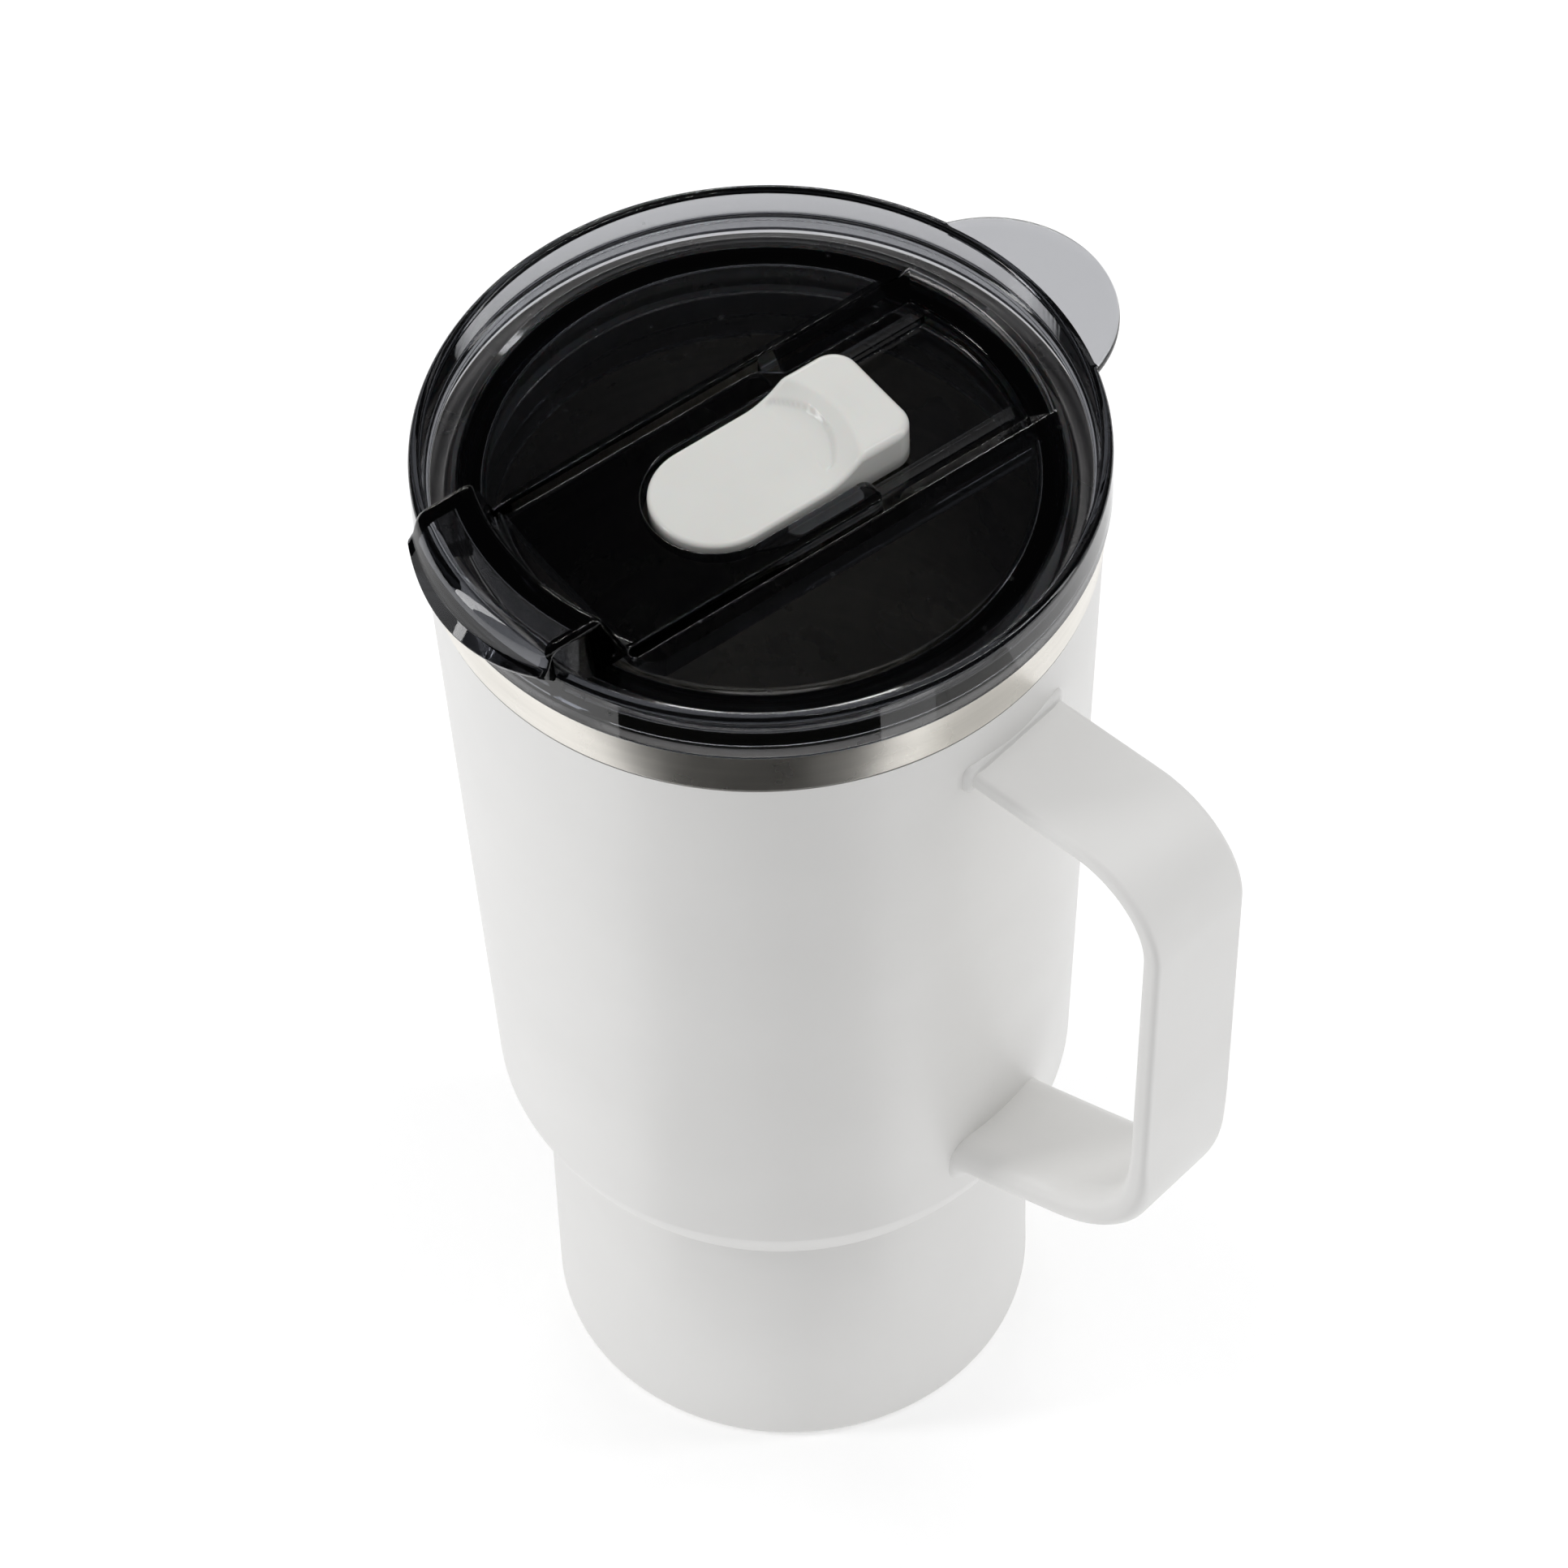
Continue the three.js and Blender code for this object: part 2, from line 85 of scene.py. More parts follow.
# SHEET is the steel alone, WALL is the double wall: steel, vacuum and steel.
SHEET, WALL = 0.8, 3.4
BAND_R = liner_high[1]
RIM_Z = liner_high[2]
MOUTH_R = BAND_R - WALL

slide = next(j for j in frame["joints"] if j["name"] == "slider_slide")
TAB_WAY = np.array(slide["axis"][:2]) / np.hypot(*slide["axis"][:2])
LID_R = 49.0
LID_TOP_Z = 192.2
DECK_Z = 187.5
DECK_T = 2.3
SPOUT_TOP_Z = lid_high[2]
print(f"body {2 * BODY_TOP_R:.1f} mm across, rim at {RIM_Z:.1f} mm, lid turned "
      f"{math.degrees(math.atan2(TAB_WAY[1], TAB_WAY[0])):.1f} degrees")

# %% [markdown]
# ## Helpers for surfaces
# A surface is an array of points with two directions: rows and columns. Faces are the squares between
# neighbouring points, so one function can turn any such array into a mesh. A second function welds the seams and
# the poles, where many points of a row share one place, and turns every face outwards.

# %% From arrays to a mesh
def grid_faces(rows, cols, wrap_rows=False, wrap_cols=False):
    """Corner numbers of every square of a rows by cols grid, joined at the ends where it wraps."""
    i = np.arange(rows if wrap_rows else rows - 1)
    j = np.arange(cols if wrap_cols else cols - 1)
    i, j = [a.ravel() for a in np.meshgrid(i, j, indexing="ij")]
    i_next, j_next = (i + 1) % rows, (j + 1) % cols
    return np.stack([i * cols + j, i * cols + j_next, i_next * cols + j_next, i_next * cols + j], 1)


def surface(points, wrap_rows=False, wrap_cols=False):
    """A grid of points (rows, cols, 3) in millimetres as flat vertex and face arrays."""
    rows, cols = points.shape[:2]
    return points.reshape(-1, 3), grid_faces(rows, cols, wrap_rows, wrap_cols)


def cap(ring):
    """A flat end: one polygon through all points of a closed ring."""
    return ring, np.arange(len(ring))[None]


def make_mesh(name, parts):
    """Joins surfaces into one object, merges points closer than a micrometre and turns faces outwards."""
    vertices = np.concatenate([p[0] for p in parts]) * MM
    starts = np.cumsum([0] + [len(p[0]) for p in parts[:-1]])
    faces = [face for part, start in zip(parts, starts) for face in (part[1] + start).tolist()]
    mesh = bpy.data.meshes.new(name)
    mesh.from_pydata(vertices, [], faces)
    work = bmesh.new()
    work.from_mesh(mesh)
    bmesh.ops.remove_doubles(work, verts=work.verts, dist=1e-6)
    bmesh.ops.dissolve_degenerate(work, edges=work.edges, dist=1e-7)
    bmesh.ops.recalc_face_normals(work, faces=work.faces)
    work.to_mesh(mesh)
    work.free()
    piece = bpy.data.objects.new(name, mesh)
    bpy.context.scene.collection.objects.link(piece)
    return piece


def smooth(piece, sharp_degrees=40):
    """Shades faces smoothly, keeps an edge crisp where its faces meet at more than the given angle."""
    piece.data.shade_smooth()
    piece.data.set_sharp_from_angle(angle=math.radians(sharp_degrees))


def finish_piece(piece, material, body, replaced):
    """Gives a piece its material, the body it moves with and the frame nodes it stands for."""
    piece.data.materials.clear()
    piece.data.materials.append(material)
    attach(piece, body)
    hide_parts(*replaced)
    print(f"{piece.name}: {len(piece.data.polygons)} faces")
    return piece


# %% [markdown]
# ## Outlines with round corners
# Pressed steel and moulded plastic have no sharp corners. An outline is written as a few corners, each with its
# own radius, and this function replaces each corner with an arc that is tangent to both sides.

# %% Round the corners of an outline
def rounded(corners, closed=False, steps=6):
    """Corners (x, y, radius) to points. Each arc starts and ends radius / tan(half angle) from its corner."""
    corners = np.asarray(corners, float)
    count = len(corners)
    points = []
    for i, (x, y, radius) in enumerate(corners):
        here = np.array([x, y])
        if radius <= 0 or (not closed and i in (0, count - 1)):
            points.append(here[None])
            continue
        back = corners[i - 1, :2] - here
        on = corners[(i + 1) % count, :2] - here
        back, on = back / np.hypot(*back), on / np.hypot(*on)
        if np.hypot(*(back + on)) < 1e-6:
            # Both sides are in line, so a short straight run stands in for the arc.
            points.append(here + on * np.linspace(-0.2, 0.2, steps + 1)[:, None])
            continue
        half = math.acos(np.clip(back @ on, -1, 1)) / 2
        middle = here + (back + on) / np.hypot(*(back + on)) * radius / math.sin(half)
        start = math.atan2(*(here + back * radius / math.tan(half) - middle)[::-1])
        end = math.atan2(*(here + on * radius / math.tan(half) - middle)[::-1])
        turn = (end - start + math.pi) % (2 * math.pi) - math.pi
        angles = start + turn * np.linspace(0, 1, steps + 1)
        points.append(middle + radius * np.stack([np.cos(angles), np.sin(angles)], 1))
    return np.concatenate(points)


def turned(profile, segments=256, closed=True):
    """A (radius, height) profile swept round Z: x = r cos t, y = r sin t, z = z."""
    t = np.linspace(0, 2 * np.pi, segments, endpoint=False)
    radius, height = np.asarray(profile, float).T
    x = radius[:, None] * np.cos(t)
    y = radius[:, None] * np.sin(t)
    z = np.broadcast_to(height[:, None], x.shape)
    return surface(np.stack([x, y, z], -1), wrap_rows=closed, wrap_cols=True)


def grown(outline, distance):
    """A closed outline moved outwards along its own normals by a distance (inwards if negative)."""
    ahead = np.roll(outline, -1, 0) - outline
    ahead /= np.maximum(np.hypot(*ahead.T), 1e-9)[:, None]
    behind = np.roll(ahead, 1, 0)
    normal = np.stack([ahead[:, 1] + behind[:, 1], -ahead[:, 0] - behind[:, 0]], 1)
    size = (normal**2).sum(1)[:, None]
    x, y = outline.T
    area = (x * np.roll(y, -1) - np.roll(x, -1) * y).sum()
    return outline + np.sign(area) * distance * 2 * normal / np.maximum(size, 1)


# %% [markdown]
# ## Shader groups
# Three effects are shared by several finishes, so each is a node group with named inputs that puts out a value.
# `soft_variation` is a slow change across the surface, `fine_grain` is a small even texture, and `turned_lines`
# are the fine rings that a lathe or a brushing belt leaves round the axis.

# %% Build the shared groups
def new_group(name, inputs, outputs):
    """An empty shader group with its float or vector sockets, and its input and output nodes."""
    group = bpy.data.node_groups.new(name, "ShaderNodeTree")
    for label, kind, default in inputs:
        socket = group.interface.new_socket(label, in_out="INPUT", socket_type=kind)
        if default is not None:
            socket.default_value = default
    for label, kind in outputs:
        group.interface.new_socket(label, in_out="OUTPUT", socket_type=kind)
    return group, group.nodes.new("NodeGroupInput"), group.nodes.new("NodeGroupOutput")


def add_node(tree, kind, values=None, **settings):
    """A node with its settings and the default values of its inputs."""
    node = tree.nodes.new(kind)
    for key, value in settings.items():
        setattr(node, key, value)
    for key, value in (values or {}).items():
        node.inputs[key].default_value = value
    return node


def soft_variation_group():
    """Large soft noise, scaled to run from Low to High."""
    group, entry, result = new_group(
        "soft_variation",
        [("Vector", "NodeSocketVector", None), ("Scale", "NodeSocketFloat", 20.0),
         ("Low", "NodeSocketFloat", 0.0), ("High", "NodeSocketFloat", 1.0)],
        [("Value", "NodeSocketFloat")],
    )
    noise = add_node(group, "ShaderNodeTexNoise", {"Detail": 4.0, "Roughness": 0.55})
    spread = add_node(group, "ShaderNodeMapRange", {"From Min": 0.3, "From Max": 0.7})
    group.links.new(entry.outputs["Vector"], noise.inputs["Vector"])
    group.links.new(entry.outputs["Scale"], noise.inputs["Scale"])
    group.links.new(noise.outputs["Fac"], spread.inputs["Value"])
    group.links.new(entry.outputs["Low"], spread.inputs["To Min"])
    group.links.new(entry.outputs["High"], spread.inputs["To Max"])
    group.links.new(spread.outputs["Result"], result.inputs["Value"])
    return group


def fine_grain_group():
    """Two sizes of cell noise added together: the pebbled skin of sprayed or moulded surfaces."""
    group, entry, result = new_group(
        "fine_grain",
        [("Vector", "NodeSocketVector", None), ("Scale", "NodeSocketFloat", 2500.0)],
        [("Height", "NodeSocketFloat"), ("Specks", "NodeSocketFloat")],
    )
    coarse = add_node(group, "ShaderNodeTexNoise", {"Detail": 2.0, "Roughness": 0.5})
    cells = add_node(group, "ShaderNodeTexVoronoi", {"Randomness": 1.0}, feature="SMOOTH_F1")
    third = add_node(group, "ShaderNodeMath", {1: 0.35}, operation="MULTIPLY")
    total = add_node(group, "ShaderNodeMath", {1: 0.5}, operation="MULTIPLY_ADD")
    dots = add_node(group, "ShaderNodeTexVoronoi", {"Randomness": 1.0}, feature="F1")
    speck = add_node(group, "ShaderNodeMapRange", {"From Min": 0.10, "From Max": 0.04})
    group.links.new(entry.outputs["Vector"], coarse.inputs["Vector"])
    group.links.new(entry.outputs["Vector"], cells.inputs["Vector"])
    group.links.new(entry.outputs["Vector"], dots.inputs["Vector"])
    group.links.new(entry.outputs["Scale"], third.inputs[0])
    group.links.new(third.outputs[0], coarse.inputs["Scale"])
    group.links.new(entry.outputs["Scale"], cells.inputs["Scale"])
    group.links.new(third.outputs[0], dots.inputs["Scale"])
    group.links.new(cells.outputs["Distance"], total.inputs[0])
    group.links.new(coarse.outputs["Fac"], total.inputs[2])
    group.links.new(total.outputs[0], result.inputs["Height"])
    group.links.new(dots.outputs["Distance"], speck.inputs["Value"])
    group.links.new(speck.outputs["Result"], result.inputs["Specks"])
    return group


def turned_lines_group():
    """Noise of (slow x, slow y, fast radius + height), so that its streaks run round the axis."""
    group, entry, result = new_group(
        "turned_lines",
        [("Vector", "NodeSocketVector", None), ("Fineness", "NodeSocketFloat", 4000.0),
         ("Streak", "NodeSocketFloat", 25.0)],
        [("Height", "NodeSocketFloat"), ("Tone", "NodeSocketFloat")],
    )
    split = add_node(group, "ShaderNodeSeparateXYZ")
    flat = add_node(group, "ShaderNodeVectorMath", {1: (1.0, 1.0, 0.0)}, operation="MULTIPLY")
    radius = add_node(group, "ShaderNodeVectorMath", operation="LENGTH")
    across = add_node(group, "ShaderNodeMath", operation="ADD")
    fine = add_node(group, "ShaderNodeMath", operation="MULTIPLY")
    slow = add_node(group, "ShaderNodeVectorMath", operation="SCALE")
    apart = add_node(group, "ShaderNodeSeparateXYZ")
    joined = add_node(group, "ShaderNodeCombineXYZ")
    noise = add_node(group, "ShaderNodeTexNoise", {"Scale": 1.0, "Detail": 3.0, "Roughness": 0.6})
    broad = add_node(group, "ShaderNodeMath", {1: 0.12}, operation="MULTIPLY")
    joined_broad = add_node(group, "ShaderNodeCombineXYZ")
    tone = add_node(group, "ShaderNodeTexNoise", {"Scale": 1.0, "Detail": 2.0})
    links = group.links
    links.new(entry.outputs["Vector"], split.inputs[0])
    links.new(entry.outputs["Vector"], flat.inputs[0])
    links.new(flat.outputs[0], radius.inputs[0])
    links.new(radius.outputs["Value"], across.inputs[0])
    links.new(split.outputs["Z"], across.inputs[1])
    links.new(across.outputs[0], fine.inputs[0])
    links.new(entry.outputs["Fineness"], fine.inputs[1])
    links.new(flat.outputs[0], slow.inputs[0])
    links.new(entry.outputs["Streak"], slow.inputs["Scale"])
    links.new(slow.outputs[0], apart.inputs[0])
    for target, height in ((joined, fine), (joined_broad, broad)):
        links.new(apart.outputs["X"], target.inputs["X"])
        links.new(apart.outputs["Y"], target.inputs["Y"])
        links.new(height.outputs[0], target.inputs["Z"])
    links.new(fine.outputs[0], broad.inputs[0])
    links.new(joined.outputs[0], noise.inputs["Vector"])
    links.new(joined_broad.outputs[0], tone.inputs["Vector"])
    links.new(noise.outputs["Fac"], result.inputs["Height"])
    links.new(tone.outputs["Fac"], result.inputs["Tone"])
    return group


SOFT_VARIATION = soft_variation_group()
FINE_GRAIN = fine_grain_group()
TURNED_LINES = turned_lines_group()
print("shader groups:", [g.name for g in bpy.data.node_groups])


# %% Helpers for materials
def new_material(name, **principled):
    """A material with its Principled shader and a Texture Coordinate node."""
    material = bpy.data.materials.new(name)
    material.use_nodes = True
    tree = material.node_tree
    shader = tree.nodes["Principled BSDF"]
    for key, value in principled.items():
        shader.inputs[key.replace("_", " ")].default_value = value
    place = tree.nodes.new("ShaderNodeTexCoord").outputs["Object"]
    return material, tree, shader, place


def use_group(tree, group, place, **values):
    """A shared group placed in a material, fed with Object coordinates."""
    node = tree.nodes.new("ShaderNodeGroup")
    node.node_tree = group
    tree.links.new(place, node.inputs["Vector"])
    for key, value in values.items():
        node.inputs[key].default_value = value
    return node


def add_bump(tree, shader, height, distance, strength=1.0, under=None):
    """A Bump node on the shader's normal, on top of another bump where one is given."""
    bump = add_node(tree, "ShaderNodeBump", {"Distance": distance, "Strength": strength})
    tree.links.new(height, bump.inputs["Height"])
    if under is not None:
        tree.links.new(under.outputs["Normal"], bump.inputs["Normal"])
    tree.links.new(bump.outputs["Normal"], shader.inputs["Normal"])
    return bump


def mixed(tree, factor, first, second):
    """A colour that runs from the first to the second as the factor runs from 0 to 1."""
    # A Mix node keeps its colour inputs A and B at places 6 and 7, and its colour output at place 2.
    mix = add_node(tree, "ShaderNodeMix", data_type="RGBA")
    mix.inputs[6].default_value = (*first, 1)
    mix.inputs[7].default_value = (*second, 1)
    tree.links.new(factor, mix.inputs[0])
    return mix.outputs[2]


def blend_colours(tree, shader, factor, first, second):
    """Base Color that runs from the first colour to the second with the factor."""
    tree.links.new(mixed(tree, factor, first, second), shader.inputs["Base Color"])


# %% [markdown]
# ## Powder coat
# The body and handle are sprayed with powder that melts into a satin skin. It is never quite flat: it has a fine
# pebble, and the colour and gloss drift a little. The pebble is a bump of about ten micrometres. More would read
# as sandpaper, and none would read as bare plastic.

# %% Powder coat material
def powder_coat():
    """Off-white that drifts by soft noise, gloss that drifts by a second noise, and a pebble in the normal."""
    material, tree, shader, place = new_material("powder_coat", IOR=1.5)
    grain = use_group(tree, FINE_GRAIN, place, Scale=2600.0)
    tone = use_group(tree, SOFT_VARIATION, place, Scale=28.0, Low=0.0, High=1.0)
    gloss = use_group(tree, SOFT_VARIATION, place, Scale=60.0, Low=0.36, High=0.43)
    blend_colours(tree, shader, tone.outputs["Value"], (0.80, 0.795, 0.78), (0.83, 0.825, 0.81))
    tree.links.new(gloss.outputs["Value"], shader.inputs["Roughness"])
    add_bump(tree, shader, grain.outputs["Height"], 0.00002, 0.55)
    return material


COAT = powder_coat()
print("finish:", COAT.name)

# %% [markdown]
# ## Outer shell
# The shell is spun or hydroformed from one tube, so it is a perfect surface of revolution: a profile turned round
# the axis. The upper body tapers, rolls over a soft shoulder and drops into the narrow cup-holder section. The
# shoulder is a quarter of a superellipse, because a plain arc would meet the taper and the waist with a kink.

# %% Turn the outer shell
def shoulder(inset, steps=20):
    """Quarter superellipse from the taper to the waist: both coordinates follow cos and sin to the power 1.6."""
    a = np.linspace(0, np.pi / 2, steps)
    r = WAIST_R + (SHOULDER_R - WAIST_R) * np.cos(a) ** 1.6 - inset
    z = SHOULDER_Z - (SHOULDER_Z - WAIST_Z) * np.sin(a) ** 1.6 + inset / 2
    return np.stack([r, z], 1)


def shell_side(inset, top_z):
    """Outside of the shell from the foot ring to the top, moved in by a wall thickness."""
    foot = rounded([(FOOT_RING_R, inset, 0), (FOOT_R - inset, inset, FOOT_FILLET - inset),
                    (FOOT_R - inset + 0.05, WAIST_Z / 2, 0)], steps=14)
    return np.concatenate([foot, shoulder(inset)[::-1], [[BODY_TOP_R - inset, top_z]]])


def outer_shell():
    """The outside line up and the same line, moved in by the sheet, down again: one closed profile, turned."""
    outside = shell_side(0, BODY_TOP_Z)
    inside = shell_side(SHEET, BODY_TOP_Z)[::-1]
    piece = make_mesh("body_shell", [turned(np.concatenate([outside, inside]))])
    smooth(piece)
    return finish_piece(piece, COAT, "mug", ["outer_shell"])


outer_shell()

# %% [markdown]
# ## Brushed steel
# The bare lip was brushed while the mug turned, so its scratches run round it. Fine rings in the height give the
# grain, and an anisotropic shader with a radial tangent stretches each highlight across the rings, which is what
# makes brushed metal look brushed.

# %% Brushed steel material
def brushed_steel(name, roughness, colour, anisotropy=0.0):
    """Turned lines darken the colour by up to a fifth and bend the normal, and the gloss drifts by soft noise."""
    material, tree, shader, place = new_material(name, Metallic=1.0, Anisotropic=anisotropy)
    lines = use_group(tree, TURNED_LINES, place, Fineness=5200.0, Streak=30.0)
    drift = use_group(tree, SOFT_VARIATION, place, Scale=90.0, Low=roughness - 0.04, High=roughness + 0.05)
    darkest = 0.80
    dark = tuple(darkest * c for c in colour)
    blend_colours(tree, shader, lines.outputs["Tone"], dark, colour)
    tree.links.new(drift.outputs["Value"], shader.inputs["Roughness"])
    add_bump(tree, shader, lines.outputs["Height"], 0.000012, 0.6)
    if anisotropy:
        tangent = add_node(tree, "ShaderNodeTangent", direction_type="RADIAL", axis="Z")
        tree.links.new(tangent.outputs["Tangent"], shader.inputs["Tangent"])
    return material


STEEL = brushed_steel("brushed_steel", 0.28, (0.86, 0.83, 0.77), anisotropy=0.6)
print("finish:", STEEL.name)

# %% [markdown]
# ## Inner liner and lip
# The cup and the bare band are one piece of steel: the liner comes up, rolls out over the shell and turns down.
# Its profile is again turned, with a bright bevel at the top of the band.

# %% Turn the liner
def inner_liner():
    """Up the inside of the cup, over the rim, down the band, back under it, and down the liner's outside."""
    floor_z = liner_low[2] + SHEET
    floor_corner = 12.0
    cup_r = FOOT_R - WALL
    cup_z = 40.0
    gap = 0.3
    band_low = BODY_TOP_Z + gap
    inner = np.concatenate([
        rounded([(0, floor_z, 0), (cup_r, floor_z, floor_corner), (cup_r, cup_z, 0)], steps=12),
        shoulder(WALL)[::-1],
        rounded([(MOUTH_R - 0.4, 160, 0), (MOUTH_R, RIM_Z, 0.6), (BAND_R, RIM_Z, 0.7), (BAND_R, band_low, 0.3),
                 (BAND_R - SHEET, band_low, 0.3), (BAND_R - SHEET, RIM_Z - 1.4, 0.5),
                 (MOUTH_R + SHEET, RIM_Z - 2.4, 0)], steps=5),
        shoulder(WALL - SHEET),
        rounded([(cup_r + SHEET, cup_z, 0), (cup_r + SHEET, floor_z - SHEET, floor_corner + SHEET),
                 (0, floor_z - SHEET, 0)], steps=12),
    ])
    piece = make_mesh("steel_liner", [turned(inner, closed=False)])
    smooth(piece)
    return finish_piece(piece, STEEL, "mug", ["inner_liner"])


inner_liner()

# %% [markdown]
# ## Base plate
# Underneath, a thin plate closes the vacuum. It is pressed with a shallow ring that stiffens it, and it has the
# small port through which the air was drawn out. A cutter shaped like a drum makes the port with a Boolean.

# %% Turn the base plate and cut its port
def carve(piece, tool, operation="DIFFERENCE"):
    """Joins or cuts a piece with a closed tool by an exact Boolean, and throws the tool away."""
    modifier = piece.modifiers.new(operation.lower(), "BOOLEAN")
    modifier.operation = operation
    modifier.solver = "EXACT"
    modifier.object = tool
    bpy.context.view_layer.update()
    result = bpy.data.meshes.new_from_object(piece.evaluated_get(bpy.context.evaluated_depsgraph_get()))
    piece.modifiers.clear()
    piece.data = result
    bpy.data.objects.remove(tool)
    return piece


def drum(radius, low, high, x=0.0, segments=48):
    """A closed upright cylinder as a cutter."""
    side = turned([(0, low), (radius, low), (radius, high), (0, high)], segments, closed=False)
    return make_mesh("cutter", [(side[0] + np.array([x, 0, 0]), side[1])])


def base_plate():
    """A turned profile, its underside at `face` with a stiffening ring pressed down to `ring`, then the port."""
    plate_high = box_mm("base_plate")[1]
    edge = plate_high[0]
    port_x, port_r = -12.0, 1.6
    face, ring = 0.45, 0.05
    under = rounded([(0, face, 0), (17.5, face, 0.8), (18.3, ring, 0.6), (22.2, ring, 0.6), (23.0, face, 0.8),
                     (edge - 0.9, face, 0.5), (edge, 0.1, 0.3), (edge, 0.8, 0.1)])
    over = [(0, plate_high[2])]
    piece = make_mesh("base_disc", [turned(np.concatenate([under, over]), 192, closed=False)])
    carve(piece, drum(port_r, -1, 2, port_x))
    smooth(piece)
    return finish_piece(piece, COAT, "mug", ["base_plate"])


base_plate()

# %% [markdown]
# ## Handle
# The handle is one strap bent into a D. A section is carried along its outer line: near the top it is a flat
# strap with small edge radii, and towards the lower arm it more than doubles in thickness, with nearly round edges.
# Carrying a section along a path lets every size change smoothly, which an extruded side view can't do. At both
# ends the section is pushed back to follow the round body, and at the lower end it flares into it like a weld.

# %% Carry the strap's section along its outer line
HANDLE_TOP_Z = strap_high[2]
HANDLE_HALF = strap_high[1]
# Thickness of the strap and of its lower arm, and the radius of their edges.
STRAP, LOWER_ARM = 3.1, 7.2
STRAP_EDGE, ARM_EDGE = 1.05, 3.4
# The lower arm climbs outwards from its foot at the body, to the corner where it turns up.
ARM_SLOPE, ARM_FOOT_Z, ARM_CORNER_X = 0.37, 65.8, 78.5
ROOT_R = 40.0
UPPER_BEND, LOWER_BEND = 15.5, 25.0
ROOT_FLARE, FLARE_REACH = 1.7, 3.2


def body_radius(z):
    """Radius of the tapered upper body at a height."""
    return SHOULDER_R + (z - SHOULDER_Z) * (BODY_TOP_R - SHOULDER_R) / (BODY_TOP_Z - SHOULDER_Z)


def ease(x, start, end):
    """0 before start, 1 after end, and 3t^2 - 2t^3 between."""
    t = np.clip((x - start) / (end - start), 0, 1)
    return t * t * (3 - 2 * t)


def strap_line():
    """Outer line of the strap, from the top root round to the lower root, at even steps along its length."""
    line = rounded([
        (ROOT_R + 5.5, HANDLE_TOP_Z, 0),
        (strap_high[0] + 0.45, HANDLE_TOP_Z, UPPER_BEND),
        (ARM_CORNER_X, ARM_FOOT_Z + ARM_SLOPE * (ARM_CORNER_X - ROOT_R), LOWER_BEND),
        (ROOT_R + 1.8, ARM_FOOT_Z + ARM_SLOPE * 1.8, 0),
    ], steps=40)
    along = np.concatenate([[0], np.cumsum(np.hypot(*np.diff(line, axis=0).T))])
    even = np.linspace(0, along[-1], 190)
    return np.stack([np.interp(even, along, line[:, k]) for k in (0, 1)], 1), even / along[-1]


def section(half_width, half_thick, radius, steps=9):
    """Closed rounded rectangles, one per station: across Y and through the thickness."""
    corner = np.linspace(0, np.pi / 2, steps)
    quarter = [(1, 1, 0), (-1, 1, 1), (-1, -1, 2), (1, -1, 3)]
    across, through = [], []
    for sy, st, k in quarter:
        a = corner + k * np.pi / 2
        across.append(sy * (half_width - radius)[:, None] + radius[:, None] * np.cos(a))
        through.append(st * (half_thick - radius)[:, None] + radius[:, None] * np.sin(a))
    return np.concatenate(across, 1), np.concatenate(through, 1)


def handle_strap():
    """Each section stands square to the line. It is pushed back by R - sqrt(R^2 - y^2) near the body of radius R,
    and flares at the lower root by a quarter round."""
    line, share = strap_line()
    tangent = np.gradient(line, axis=0)
    tangent /= np.hypot(*tangent.T)[:, None]
    inwards = np.stack([tangent[:, 1], -tangent[:, 0]], 1)
    grow = ease(share, 0.60, 0.79)
    thick = STRAP + (LOWER_ARM - STRAP) * grow
    radius = STRAP_EDGE + (ARM_EDGE - STRAP_EDGE) * grow
    reach = np.clip((line[:, 0] - body_radius(line[:, 1])) / FLARE_REACH, 0, 1)
    lower_half = share > 0.5
    flare = np.where(lower_half, ROOT_FLARE * (1 - np.sqrt(1 - (1 - reach) ** 2)), 0)
    across, through = section(HANDLE_HALF + flare * 0.9, thick / 2 + flare, radius + flare * 0.4)
    depth = (thick / 2)[:, None] + through
    x = line[:, :1] + inwards[:, :1] * depth
    z = line[:, 1:] + inwards[:, 1:] * depth
    near = 1 - ease(line[:, :1], 44, 60)
    round_body = body_radius(z)
    x = x - near * (round_body - np.sqrt(round_body**2 - across**2))
    points = np.stack([x, across, z], -1)
    piece = make_mesh("handle_loop", [surface(points, wrap_cols=True), cap(points[0]), cap(points[-1])])
    smooth(piece)
    return finish_piece(piece, COAT, "mug", ["handle_strap"])


handle_strap()

# %% [markdown]
# ## Handle pads
# Under each root lies a thin plate, welded to the body and coated with it. Only its rounded edge shows as a light
# lip. It is a rounded rectangle wrapped on the body, domed at the edge.

